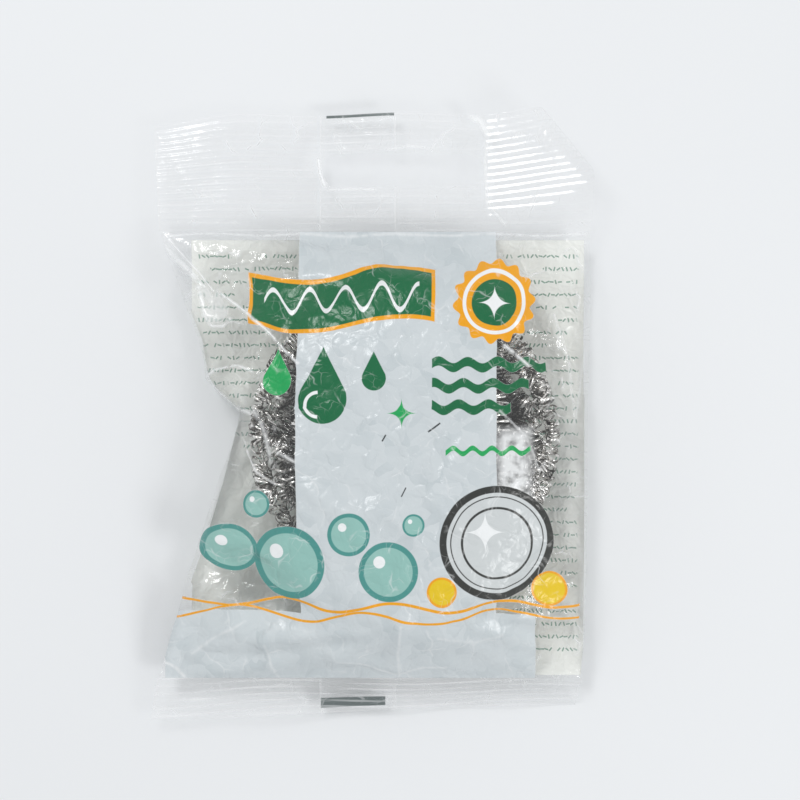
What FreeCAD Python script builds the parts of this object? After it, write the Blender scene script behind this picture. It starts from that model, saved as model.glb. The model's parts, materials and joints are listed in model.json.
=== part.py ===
"""A pot scrubber of curled steel strands, sealed in a clear film hang pack that lies on its back.

All lengths are in millimetres. X runs across the pack, Y runs up to the hang header and Z runs out
of the front. The origin lies on the table, under the middle of the pack.
"""
import FreeCAD
import Part
import math
import os

Vector = FreeCAD.Vector

# Film pack
PACK_WIDTH = 96.0
PACK_LENGTH = 133.0
HEADER_LENGTH = 26.8
TAIL_LENGTH = 9.2
SEAM_HEIGHT = 6.0
CROWN = 19.3
BELLY = 7.0
LEFT_WAIST = 17.5
RIGHT_WAIST = 1.5
END_BULGE = 0.5
FILM = 0.2
SIDE_FOLD = 0.6
OVERRUN = 5.0
LOFT_DEGREE = 3

# Places across the pouch, from header to tail, as shares of its length, waists and bulge
STATION_SHARES = (0.0, 0.05, 0.105, 0.19, 0.31, 0.4, 0.48, 0.585, 0.69, 0.815, 0.895, 0.95, 1.0)
BULGE_SHARES = (0.0, 0.25, 0.58, 0.87, 0.985, 1.0, 1.0, 1.0, 0.975, 0.87, 0.57, 0.24, 0.0)
LEFT_SHARES = (0.0, 0.12, 0.25, 0.46, 0.66, 1.0, 0.94, 0.78, 0.6, 0.37, 0.2, 0.1, 0.0)
RIGHT_SHARES = (0.0, 0.3, 0.5, 0.75, 0.95, 1.0, 1.0, 1.0, 1.0, 0.9, 0.6, 0.3, 0.0)

# Flank, shoulder and crest of a cut across the pouch, as shares of its half width and bulge
FRONT_ARCH_SHARES = ((-1.0, 0.0), (-0.95, 0.523), (-0.8, 0.8), (0.0, 1.0), (0.8, 0.77), (0.95, 0.46),
                     (1.0, 0.0))
BACK_ARCH_SHARES = ((-1.0, 0.0), (-0.95, 0.523), (-0.8, 0.787), (0.0, 1.0), (0.8, 0.787), (0.95, 0.523),
                    (1.0, 0.0))

# Fin seam up the back
FIN_WIDTH = 16.7
FIN_OFFSET = -3.5
FIN_THICKNESS = 0.4

# Crimped end seals
SEAL_THICKNESS = 0.4
RIB_PITCH = 1.5
RIB_RISE = 0.25
HINGE_GAP = 0.7
FLAT_LEAD = 1.0
FIN_LEAD = 2.0
TAIL_SAG = 2.2

# Hang slot and the turned up corner of the header
SLOT_WIDTH = 35.5
SLOT_HEIGHT = 7.2
SLOT_OFFSET = 6.4
SLOT_RISE = 14.4
SLOT_MARGIN = 0.6
CREASE_OFFSET = 24.5
CORNER_LIFT = 9.0
CORNER_DRAW = 2.6
ROLL_WIDTH = 10.6
ROLL_LENGTH = 12.7

# How far the right edge is turned up and drawn along, by shares of the header's reach
LIFT_SHARES = ((0.0, 0.0), (0.3, 0.5), (0.55, 0.55), (0.95, 1.0), (1.0, 1.0))
DRAW_SHARES = ((0.0, 0.0), (0.35, 1.0), (1.0, 1.0))

# Scrubber of curled strands
WIRE = 0.8
CURL_RADIUS = 5.0
CORE_RING_RADIUS = 7.6
STRAND_GAP = 0.4
RIM_STEP = 10.2
SCRUBBER_X = 6.7
SCRUBBER_DROP = 44.6
SCRUBBER_SEAT = 0.3
CORE_CURLS = 8
MIDDLE_CURLS = 25
RIM_CURLS = 34
STRAND_END_GAP = 6.0
ARCS_PER_CURL = 4
GAP_SAMPLES = 20

# Derived places
PACK_TOP = PACK_LENGTH / 2
PACK_BOTTOM = -PACK_LENGTH / 2
HEADER_LINE = PACK_TOP - HEADER_LENGTH
TAIL_LINE = PACK_BOTTOM + TAIL_LENGTH
POUCH_LENGTH = HEADER_LINE - TAIL_LINE
STRAND_RADIUS = CURL_RADIUS + WIRE / 2
STRAND_STEP = 2 * STRAND_RADIUS + STRAND_GAP
LOWER_LEVEL = FIN_THICKNESS + FILM + SCRUBBER_SEAT + STRAND_RADIUS
UPPER_LEVEL = LOWER_LEVEL + STRAND_STEP
MIDDLE_RING_RADIUS = CORE_RING_RADIUS + STRAND_STEP
RIM_RING_RADIUS = MIDDLE_RING_RADIUS + RIM_STEP
SCRUBBER_Y = HEADER_LINE - SCRUBBER_DROP


def export(name, shape):
    """Writes one piece to its own file and says what it is."""
    shape.exportStep(f"parts/{name}.step")
    print(f"{name}: {len(shape.Solids)} solid, {shape.Volume:.1f} cubic mm, valid {shape.isValid()}")


def slab(left, right, low, high, bottom, top):
    """Box between two places along each axis."""
    return Part.makeBox(right - left, high - low, top - bottom, Vector(left, low, bottom))


def half_space(left, right, bottom, top):
    """Box over the whole length of the pack, past both of its ends."""
    return slab(left, right, PACK_BOTTOM - OVERRUN, PACK_TOP + OVERRUN, bottom, top)


def arch(y, left, right, height, shares):
    """Points of one arch across the pouch, from its left side fold to its right one."""
    middle = (left + right) / 2
    half = (right - left) / 2
    return [Vector(middle + half * across, y, SEAM_HEIGHT + height * up) for across, up in shares]


def arcs(points):
    """Arcs through every three points that follow each other."""
    return [Part.Arc(*points[i:i + 3]).toShape() for i in range(0, len(points) - 1, 2)]


def stations(side_inset):
    """Place, left and right side and bulge share of every cut across the pouch."""
    for place, bulge, left, right in zip(STATION_SHARES, BULGE_SHARES, LEFT_SHARES, RIGHT_SHARES):
        yield (HEADER_LINE - place * POUCH_LENGTH,
               -PACK_WIDTH / 2 + LEFT_WAIST * left + side_inset,
               PACK_WIDTH / 2 - RIGHT_WAIST * right - side_inset,
               bulge)


def front_arches(side_inset, top_inset):
    """Arches of the front at all stations, drawn in from the outside of the film."""
    return [arch(y, left, right, END_BULGE + (CROWN - END_BULGE) * bulge - top_inset, FRONT_ARCH_SHARES)
            for y, left, right, bulge in stations(side_inset)]


def back_arches(side_inset, belly_inset):
    """Arches of the back at all stations, drawn in from the outside of the film."""
    return [arch(y, left, right, belly_inset - END_BULGE - (BELLY - END_BULGE) * bulge, BACK_ARCH_SHARES)
            for y, left, right, bulge in stations(side_inset)]


def loft(outlines):
    """Smooth solid through closed outlines."""
    return Part.makeLoft(outlines, True, False, False, LOFT_DEGREE)


def pouch_form(side_inset, top_inset, belly_inset):
    """Solid pillow through all stations, drawn in from the outside of the film."""
    pairs = zip(front_arches(side_inset, top_inset), back_arches(side_inset, belly_inset))
    return loft([Part.Wire(arcs(front) + arcs(back[::-1])) for front, back in pairs])


def front_skin():
    """Front film between its outer and its inner arches, down to the side folds."""
    outlines = []
    for outer, inner in zip(front_arches(0, 0), front_arches(SIDE_FOLD, FILM)):
        right_fold = Part.makeLine(outer[-1], inner[-1])
        left_fold = Part.makeLine(inner[0], outer[0])
        outlines.append(Part.Wire(arcs(outer) + [right_fold] + arcs(inner[::-1]) + [left_fold]))
    return loft(outlines)


def flattened(form, level):
    """The form above a flat level, where the table presses it."""
    return form.cut(half_space(-PACK_WIDTH, PACK_WIDTH, -BELLY - OVERRUN, level))


def film_pieces():
    """Front film, the two back films beside the fin, and the fin that lies under them."""
    outer = flattened(pouch_form(0, 0, 0), FIN_THICKNESS)
    inner = flattened(pouch_form(SIDE_FOLD, FILM, FILM), FIN_THICKNESS + FILM)
    skin = outer.cut(inner)
    below = -BELLY - OVERRUN
    fin_left = FIN_OFFSET - FIN_WIDTH / 2
    fin_right = FIN_OFFSET + FIN_WIDTH / 2
    grown = flattened(pouch_form(0, 0, -FIN_THICKNESS), 0)
    fin_slot = slab(fin_left, fin_right, TAIL_LINE + FIN_LEAD, HEADER_LINE - FIN_LEAD, below, SEAM_HEIGHT)
    return {
        "front_film": front_skin(),
        "back_film_left": skin.common(half_space(-PACK_WIDTH, FIN_OFFSET, below, SEAM_HEIGHT)),
        "back_film_right": skin.common(half_space(FIN_OFFSET, PACK_WIDTH, below, SEAM_HEIGHT)),
        "back_fin_seam": grown.common(fin_slot).cut(outer),
    }


def rib_crests(reach):
    """Run and height of the ribs' crests and hollows from the hinge line, after a flat lead."""
    half_pitch = RIB_PITCH / 2
    steps = int((reach - FLAT_LEAD) / half_pitch)
    crests = [(0, 0), (FLAT_LEAD, 0)]
    for step in range(1, steps):
        crests.append((FLAT_LEAD + step * half_pitch, RIB_RISE * (1 if step % 2 else -1)))
    return crests + [(reach, 0)]


def ribbed_outline(x, crests, level):
    """Closed outline of ribbed film across the ribs, at one place along them."""
    half = SEAL_THICKNESS / 2
    upper = [Vector(x, y, level + z + half) for y, z in crests]
    lower = [Vector(x, y, level + z - half) for y, z in reversed(crests)]
    return Part.makePolygon(upper + lower + upper[:1])


def crimped_strip(left, right, reach, level, sag=0):
    """Ribbed strip that runs from the hinge line along +Y, where its free edge hangs down by the sag."""
    crests = [(y, z - sag * y / reach) for y, z in rib_crests(reach)]
    face = Part.Face(ribbed_outline(left, crests, level))
    return face.extrude(Vector(right - left, 0, 0))


def share_at(place, shares):
    """Value at a place between the points of a table of shares."""
    for (start, low), (end, high) in zip(shares, shares[1:]):
        if place <= end:
            return low + (high - low) * (place - start) / (end - start)
    return shares[-1][1]


def turned_up_strip(reach):
    """Header strip whose right side is turned up from a crease, with its far corner rolled away."""
    flat = rib_crests(reach)
    turned = []
    for y, z in flat:
        draw = CORNER_DRAW * share_at(y / reach, DRAW_SHARES)
        lift = CORNER_LIFT * share_at(y / reach, LIFT_SHARES)
        turned.append((y + draw, z + lift))
    places = ((-PACK_WIDTH / 2, flat), (CREASE_OFFSET, flat), (PACK_WIDTH / 2, turned))
    strip = Part.makeLoft([ribbed_outline(x, crests, SEAM_HEIGHT) for x, crests in places], True, True)
    below = SEAM_HEIGHT - OVERRUN
    height = CORNER_LIFT + 2 * OVERRUN
    low = Vector(PACK_WIDTH / 2, reach - ROLL_LENGTH, below)
    along = Vector(-ROLL_WIDTH, ROLL_LENGTH, 0).normalize()
    start = low.sub(along * PACK_WIDTH)
    end = low.add(along * PACK_WIDTH)
    out = Vector(along.y, -along.x, 0) * PACK_WIDTH
    rolled = Part.Face(Part.makePolygon([start, end, end.add(out), start.add(out), start]))
    past_end = slab(-PACK_WIDTH, PACK_WIDTH, reach, reach + PACK_WIDTH, below, below + height)
    return strip.cut(rolled.extrude(Vector(0, 0, height))).cut(past_end)


def fin_end(reach, start, stop, sag=0):
    """Stretch of the fin seam that is pressed onto the back of an end seal."""
    left = FIN_OFFSET - FIN_WIDTH / 2
    right = FIN_OFFSET + FIN_WIDTH / 2
    level = SEAM_HEIGHT - SEAL_THICKNESS
    stretch = slab(left - OVERRUN, right + OVERRUN, start, stop, level - OVERRUN, level + OVERRUN)
    return crimped_strip(left, right, reach, level, sag).common(stretch)


def hang_slot():
    """Cutter for the oblong hang slot, with round ends, in the header's own place."""
    radius = SLOT_HEIGHT / 2
    low = SEAM_HEIGHT - OVERRUN
    left = SLOT_OFFSET - SLOT_WIDTH / 2 + radius
    right = SLOT_OFFSET + SLOT_WIDTH / 2 - radius
    middle = HEADER_LINE + SLOT_RISE
    cutter = slab(left, right, middle - radius, middle + radius, low, low + 2 * OVERRUN)
    for x in (left, right):
        cutter = cutter.fuse(Part.makeCylinder(radius, 2 * OVERRUN, Vector(x, middle, low)))
    return cutter


def end_seals():
    """Crimped header and tail, with the ends of the fin seam pressed onto their backs."""
    header_reach = HEADER_LENGTH - HINGE_GAP
    tail_reach = TAIL_LENGTH - HINGE_GAP
    slot_middle = SLOT_RISE - HINGE_GAP
    slot_half = SLOT_HEIGHT / 2 + SLOT_MARGIN
    header = {
        "header_seal": turned_up_strip(header_reach),
        "header_fin_below_slot": fin_end(header_reach, FIN_LEAD, slot_middle - slot_half),
        "header_fin_above_slot": fin_end(header_reach, slot_middle + slot_half, header_reach),
    }
    for shape in header.values():
        shape.translate(Vector(0, HEADER_LINE + HINGE_GAP, 0))
    header["header_seal"] = header["header_seal"].cut(hang_slot())
    tail = {
        "tail_seal": crimped_strip(-PACK_WIDTH / 2, PACK_WIDTH / 2, tail_reach, SEAM_HEIGHT, TAIL_SAG),
        "tail_fin_end": fin_end(tail_reach, FIN_LEAD, tail_reach, TAIL_SAG),
    }
    for name, shape in tail.items():
        tail[name] = shape.mirror(Vector(0, 0, 0), Vector(0, 1, 0))
        tail[name].translate(Vector(0, TAIL_LINE - HINGE_GAP, 0))
    return header | tail


class Strand:
    """One open ring of curls: a helix whose own axis goes round the scrubber."""

    def __init__(self, ring_radius, level, curls, start_degrees):
        self.ring_radius = ring_radius
        self.level = level
        self.curls = curls
        self.start = math.radians(start_degrees)
        self.sweep = 2 * math.pi - STRAND_END_GAP / ring_radius

    def at(self, share):
        """Point and unit tangent of the wire's middle at a share of the strand."""
        turn = self.start + self.sweep * share
        curl_rate = 2 * math.pi * self.curls
        curl = curl_rate * share
        reach = self.ring_radius + CURL_RADIUS * math.cos(curl)
        reach_rate = -CURL_RADIUS * curl_rate * math.sin(curl)
        point = Vector(SCRUBBER_X + reach * math.cos(turn),
                       SCRUBBER_Y + reach * math.sin(turn),
                       self.level + CURL_RADIUS * math.sin(curl))
        tangent = Vector(reach_rate * math.cos(turn) - reach * self.sweep * math.sin(turn),
                         reach_rate * math.sin(turn) + reach * self.sweep * math.cos(turn),
                         CURL_RADIUS * curl_rate * math.cos(curl))
        return point, tangent.normalize()

    def points(self):
        """Evenly spread points of the wire's middle."""
        count = self.curls * GAP_SAMPLES
        return [self.at(i / count)[0] for i in range(count + 1)]

    def least_gap(self):
        """Smallest clear distance between wire surfaces half a curl or more apart."""
        points = self.points()
        apart = GAP_SAMPLES // 2
        nearest = min(points[i].distanceToPoint(points[j])
                      for i in range(len(points)) for j in range(i + apart, len(points)))
        return nearest - WIRE

    def solid(self):
        """Unbroken tube along two tangent arcs for each quarter of a curl."""
        count = self.curls * ARCS_PER_CURL
        stops = [self.at(i / count) for i in range(count + 1)]
        edges = []
        for near, far in zip(stops, stops[1:]):
            edges.extend(biarc(*near, *far))
        pipe = Part.BRepOffsetAPI.MakePipeShell(Part.Wire(edges))
        start, heading = stops[0]
        pipe.add(Part.Wire(Part.makeCircle(WIRE / 2, start, heading)))
        pipe.build()
        pipe.makeSolid()
        return pipe.shape()


def arc_between(start, corner, end):
    """Arc that touches both lines to the corner, which is equally far from start and end."""
    middle = (start + end) * 0.5
    rise = corner - middle
    half_chord = (end - start).Length / 2
    sagitta = half_chord * math.tan(math.atan2(rise.Length, half_chord) / 2)
    return Part.Arc(start, middle + rise * (sagitta / rise.Length), end).toShape()


def biarc(start, start_heading, end, end_heading):
    """Two tangent arcs from one point and heading to another."""
    span = end - start
    headings = start_heading + end_heading
    bend = 2 * (1 - start_heading.dot(end_heading))
    lean = span.dot(headings)
    reach = (math.sqrt(lean * lean + bend * span.dot(span)) - lean) / bend
    first = start + start_heading * reach
    second = end - end_heading * reach
    joint = (first + second) * 0.5
    return arc_between(start, first, joint), arc_between(joint, second, end)


def strands():
    """The curled strands of the scrubber: two core rings, two middle rings and one rim."""
    middle_level = (LOWER_LEVEL + UPPER_LEVEL) / 2
    return {
        "core_strand_lower": Strand(CORE_RING_RADIUS, LOWER_LEVEL, CORE_CURLS, 20),
        "core_strand_upper": Strand(CORE_RING_RADIUS, UPPER_LEVEL, CORE_CURLS, 200),
        "middle_strand_lower": Strand(MIDDLE_RING_RADIUS, LOWER_LEVEL, MIDDLE_CURLS, 110),
        "middle_strand_upper": Strand(MIDDLE_RING_RADIUS, UPPER_LEVEL, MIDDLE_CURLS, 290),
        "rim_strand": Strand(RIM_RING_RADIUS, middle_level, RIM_CURLS, 65),
    }


def main():
    """Builds every piece and writes it."""
    os.makedirs("parts", exist_ok=True)
    for name, shape in film_pieces().items():
        export(name, shape)
    for name, shape in end_seals().items():
        export(name, shape)
    for name, strand in strands().items():
        export(name, strand.solid())
        print(f"{name}: least gap to itself {strand.least_gap():.2f} mm")


main()
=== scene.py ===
"""Looks of a steel curl pot scrubber in a clear film hang pack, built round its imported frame.

Sizes are in millimetres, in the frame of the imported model, until a mesh is written in metres: X runs
across the pack, Y runs up to the hang header and Z runs out of the front, away from the table.
"""

import json
import logging
import math
from collections.abc import Callable
from dataclasses import dataclass
from enum import Enum

import bpy
import numpy as np
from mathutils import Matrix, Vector


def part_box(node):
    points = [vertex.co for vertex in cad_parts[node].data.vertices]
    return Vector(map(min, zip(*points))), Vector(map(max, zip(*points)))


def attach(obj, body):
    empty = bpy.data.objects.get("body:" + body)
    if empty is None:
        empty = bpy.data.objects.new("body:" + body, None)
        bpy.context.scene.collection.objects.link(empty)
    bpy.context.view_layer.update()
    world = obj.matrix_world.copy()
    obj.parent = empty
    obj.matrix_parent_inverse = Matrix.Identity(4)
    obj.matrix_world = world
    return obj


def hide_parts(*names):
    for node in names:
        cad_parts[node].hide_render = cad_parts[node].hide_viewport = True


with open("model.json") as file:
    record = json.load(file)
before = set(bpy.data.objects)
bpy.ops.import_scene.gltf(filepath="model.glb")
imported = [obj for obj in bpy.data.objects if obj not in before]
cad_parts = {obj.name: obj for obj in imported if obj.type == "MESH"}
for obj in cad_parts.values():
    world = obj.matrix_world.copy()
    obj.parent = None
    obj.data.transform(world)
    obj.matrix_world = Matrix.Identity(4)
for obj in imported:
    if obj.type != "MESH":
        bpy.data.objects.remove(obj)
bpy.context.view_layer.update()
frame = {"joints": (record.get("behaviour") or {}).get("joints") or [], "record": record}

MM = 0.001
BAKE_MAP = "OFBake"
PRINT_PLACE = "print_place"
FLAT_PLACE = "flat_place"
OUTER_SHARE = "outer_share"
POLE_EDGE = 1e-4
log = logging.getLogger("hang_pack")

Colour = tuple[float, float, float, float]


def display_colour(red: int, green: int, blue: int) -> Colour:
    """Turns a colour as a screen shows it into the linear colour that a shader takes.

    Args:
        red: Red, from 0 to 255.
        green: Green, from 0 to 255.
        blue: Blue, from 0 to 255.

    Returns:
        The linear colour, opaque.
    """
    shares = [channel / 255 for channel in (red, green, blue)]
    linear = [s / 12.92 if s <= 0.04045 else ((s + 0.055) / 1.055) ** 2.4 for s in shares]
    return (*linear, 1.0)


class Ink(Enum):
    """Inks of the printed film, as they look on white, the white of creased film that also paints
    highlights and glare, and a painted shade for the strip's crumpled facets.
    """

    STRIP = display_colour(212, 219, 222)
    # Painted shade of the strip's crumpled facets.
    STRIP_SHADE = display_colour(190, 200, 204)
    WHITE = display_colour(240, 243, 244)
    # White of creased film, also the colour of its haze and of the painted highlights and glare.
    WHITE_HAZE_AND_GLINT = display_colour(247, 249, 250)
    ORANGE = display_colour(240, 165, 10)
    YELLOW = display_colour(232, 198, 20)
    DARK_GREEN = display_colour(6, 104, 62)
    GREEN = display_colour(24, 164, 88)
    TEAL = display_colour(74, 146, 140)
    PALE_TEAL = display_colour(146, 192, 184)
    CHARCOAL = display_colour(50, 52, 50)
    SILVER = display_colour(206, 211, 212)
    BACK_TINT = display_colour(250, 252, 246)
    BACK_GREEN = display_colour(98, 150, 126)
    MARK_GREY = display_colour(104, 114, 114)
    TEAR = display_colour(70, 74, 76)


@dataclass(frozen=True)
class Fold:
    """A crease across the front film, by points of the print in millimetres. Its white is partly stress
    whitening and partly a painted highlight along the crease.
    """

    points: tuple[tuple[float, float], ...]
    white_and_glint: float = 0.8
    width: float = 0.5
    height: float = 0.5
    reach: float = 2.4

    def distance(self, x: np.ndarray, y: np.ndarray) -> np.ndarray:
        """Distance of places on the print from the crease.

        Args:
            x: Places across the film.
            y: Places along the film.

        Returns:
            The distances.
        """
        least = np.full(len(x), np.inf)
        for (ax, ay), (bx, by) in zip(self.points, self.points[1:]):
            run_x, run_y = bx - ax, by - ay
            share = np.clip(((x - ax) * run_x + (y - ay) * run_y) / (run_x ** 2 + run_y ** 2), 0.0, 1.0)
            least = np.minimum(least, np.hypot(x - ax - share * run_x, y - ay - share * run_y))
        return least


# Creases of the front, raised as ridges in the mesh. Their white is partly stress whitening and partly a
# painted highlight along each crease.
FRONT_FOLDS = (
    Fold(((-46.6, 37.6), (-41.5, 32.4), (-37.4, 28.0)), 0.95, 0.8, 0.9),
    Fold(((-45.0, 38.6), (-38.6, 31.0), (-35.4, 27.4), (-31.0, 24.6)), 0.7, 0.45, 0.5),
    Fold(((-38.4, 27.7), (-36.8, 22.4), (-35.1, 19.8), (-33.0, 19.6), (-31.4, 21.0)), 0.85, 0.6, 0.7),
    Fold(((-33.6, 26.6), (-27.6, 22.0), (-22.0, 17.0), (-16.0, 11.2)), 0.95, 0.5, 0.9),
    Fold(((-36.2, 8.1), (-34.0, 9.7), (-29.6, 10.3), (-26.0, 9.4)), 0.8, 0.45, 0.8),
    Fold(((-34.6, 6.0), (-30.0, 2.2), (-25.4, 0.6)), 0.8, 0.8, 0.6),
    Fold(((-24.4, 1.0), (-22.6, -3.0), (-21.8, -6.4), (-21.2, -9.8)), 0.6, 0.8, 0.6),
    Fold(((-26.4, -7.6), (-24.6, -12.0), (-20.6, -14.6)), 0.7, 0.4, 0.5),
    Fold(((-19.6, -8.0), (-16.4, -9.8)), 0.85, 0.6, 0.4),
    Fold(((28.6, 15.0), (33.6, 10.8)), 0.95, 0.6, 0.7),
    Fold(((27.6, 1.0), (33.0, -4.4), (36.0, -12.0)), 0.55, 0.4, 0.6),
    Fold(((39.4, 22.0), (43.0, 12.0), (43.6, 0.0)), 0.4, 0.5, 0.6),
    Fold(((-39.8, -52.4), (-34.0, -48.2), (-28.6, -45.4)), 0.4, 0.5, 0.9, 3.2),
    Fold(((-23.8, -49.6), (-22.4, -54.0), (-21.0, -57.8)), 0.4, 0.5, 0.7),
    Fold(((6.0, -44.6), (5.4, -51.0), (5.7, -57.8)), 0.5, 0.5, 0.9, 3.2),
    Fold(((4.8, -57.0), (-2.0, -54.4), (-8.0, -52.8)), 0.45, 0.5, 0.8, 3.2),
    Fold(((5.4, -57.0), (11.0, -55.0), (16.0, -54.6)), 0.45, 0.5, 0.8, 3.2),
    Fold(((14.0, -47.6), (22.0, -48.8), (28.0, -47.4)), 0.35, 0.5, 0.7, 3.2),
    Fold(((-46.2, -54.4), (-43.6, -55.6), (-41.8, -57.6)), 0.8, 0.6, 0.5),
    Fold(((-2.0, 34.0), (4.0, 29.0), (12.0, 26.6)), 0.0, 0.5, 0.7, 4.0),
    Fold(((-14.0, -16.0), (-6.0, -21.0), (2.0, -20.0), (10.0, -27.0)), 0.0, 0.4, 0.6, 3.0),
    Fold(((12.0, 4.0), (16.0, -6.0), (12.0, -16.0), (18.0, -24.0)), 0.0, 0.4, 0.6, 3.0),
)
# Painted glints along the header's crease, at its top corner and along the slot's rim. The header's mesh
# isn't raised along them.
HEADER_FOLD_GLINTS = (
    Fold(((21.6, 66.3), (23.6, 65.0), (25.2, 62.2)), 0.95, 1.0),
    Fold(((25.0, 63.0), (24.6, 56.0), (25.0, 47.0), (29.0, 42.0)), 0.5, 0.5),
    Fold(((-12.2, 56.6), (-11.9, 53.6), (-10.8, 50.6)), 0.85, 0.7),
    Fold(((-9.8, 49.8), (-5.0, 49.9), (0.0, 49.7)), 0.6, 0.5),
    Fold(((3.0, 58.4), (8.0, 59.2), (12.0, 58.8)), 0.5, 0.5),
)


# Shader bench


class Value:
    """A shader value that joins in Python sums by adding Math nodes."""

    def __init__(self, bench: "Bench", socket: bpy.types.NodeSocket) -> None:
        """Keeps the bench and the socket that the value comes from."""
        self.bench = bench
        self.socket = socket

    def __add__(self, other: "Value | float") -> "Value":
        """Adds a value or a number."""
        return self.bench.math("ADD", self, other)

    def __radd__(self, other: float) -> "Value":
        """Adds this value to a number."""
        return self.bench.math("ADD", other, self)

    def __sub__(self, other: "Value | float") -> "Value":
        """Takes a value or a number away."""
        return self.bench.math("SUBTRACT", self, other)

    def __rsub__(self, other: float) -> "Value":
        """Takes this value away from a number."""
        return self.bench.math("SUBTRACT", other, self)

    def __mul__(self, other: "Value | float") -> "Value":
        """Multiplies by a value or a number."""
        return self.bench.math("MULTIPLY", self, other)

    def __rmul__(self, other: float) -> "Value":
        """Multiplies a number by this value."""
        return self.bench.math("MULTIPLY", other, self)

    def __truediv__(self, other: "Value | float") -> "Value":
        """Divides by a value or a number."""
        return self.bench.math("DIVIDE", self, other)

    def __pow__(self, power: float) -> "Value":
        """Raises to a power."""
        return self.bench.math("POWER", self, power)

    def __abs__(self) -> "Value":
        """Drops the sign."""
        return self.bench.math("ABSOLUTE", self)

    def sine(self) -> "Value":
        """Sine of an angle in radians."""
        return self.bench.math("SINE", self)

    def floor(self) -> "Value":
        """Rounds down."""
        return self.bench.math("FLOOR", self)

    def least(self, other: "Value | float") -> "Value":
        """The smaller of two."""
        return self.bench.math("MINIMUM", self, other)

    def most(self, other: "Value | float") -> "Value":
        """The larger of two."""
        return self.bench.math("MAXIMUM", self, other)

    def above(self, edge: float, blur: float) -> "Value":
        """Mask that is 1 where the value is over an edge, with a soft step."""
        return self.bench.math("MULTIPLY_ADD", self, 1 / blur, 0.5 - edge / blur, clamp=True)


class Bench:
    """Sets out the nodes of one material."""

    def __init__(self, name: str) -> None:
        """Starts an empty material."""
        self.material = bpy.data.materials.new(name)
        self.material.use_nodes = True
        self.tree = self.material.node_tree
        self.tree.nodes.clear()

    def node(self, kind: str, settings: dict | None = None, inputs: dict | None = None) -> bpy.types.Node:
        """Adds any node.

        Args:
            kind: Type name of the node.
            settings: Properties to set first.
            inputs: Values, or links, by socket name or number.

        Returns:
            The new node.
        """
        made = self.tree.nodes.new(kind)
        for key, setting in (settings or {}).items():
            setattr(made, key, setting)
        for key, given in (inputs or {}).items():
            if isinstance(given, Value):
                self.tree.links.new(given.socket, made.inputs[key])
            elif isinstance(given, bpy.types.Node):
                self.tree.links.new(given.outputs[0], made.inputs[key])
            else:
                made.inputs[key].default_value = given
        return made

    def value(self, kind: str, settings: dict | None = None, inputs: dict | None = None,
              output: int | str = 0) -> Value:
        """Adds any node and gives one of its outputs.

        Args:
            kind: Type name of the node.
            settings: Properties to set first.
            inputs: Values, or links, by socket name or number.
            output: Name or number of the output.

        Returns:
            The output as a value.
        """
        return Value(self, self.node(kind, settings, inputs).outputs[output])

    def math(self, operation: str, *terms: Value | float, clamp: bool = False) -> Value:
        """Adds a Math node.

        Args:
            operation: What the node works out.
            terms: Its values or numbers, in order.
            clamp: Whether the result stays from 0 to 1.

        Returns:
            The result.
        """
        settings = {"operation": operation, "use_clamp": clamp}
        return self.value("ShaderNodeMath", settings, dict(enumerate(terms)))

    def vector(self, operation: str, *terms: object, output: int | str = 0) -> Value:
        """Adds a Vector Math node, with its terms in order."""
        return self.value("ShaderNodeVectorMath", {"operation": operation}, dict(enumerate(terms)), output)

    def noise(self, place: Value, scale: float, detail: float = 2.0, output: int | str = 0) -> Value:
        """Adds a noise texture at a place."""
        inputs = {"Vector": place, "Scale": scale, "Detail": detail}
        return self.value("ShaderNodeTexNoise", {}, inputs, output)

    def mixed(self, share: Value, first: Value | Colour, second: Value | Colour) -> Value:
        """A colour between two colours.

        Args:
            share: How much of the second colour.
            first: Colour at 0.
            second: Colour at 1.

        Returns:
            The mixed colour.
        """
        inputs = {0: share, 6: first, 7: second}
        return self.value("ShaderNodeMix", {"data_type": "RGBA"}, inputs, 2)

    def blend(self, share: Value | float, first: bpy.types.Node, second: bpy.types.Node) -> bpy.types.Node:
        """A shader between two shaders.

        Args:
            share: How much of the second shader.
            first: Shader at 0.
            second: Shader at 1.

        Returns:
            The Mix Shader node.
        """
        return self.node("ShaderNodeMixShader", inputs={0: share, 1: first, 2: second})

    def finish(self, shader: bpy.types.Node) -> bpy.types.Material:
        """Joins a shader to the output and gives the material."""
        self.node("ShaderNodeOutputMaterial", inputs={"Surface": shader})
        return self.material


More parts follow.
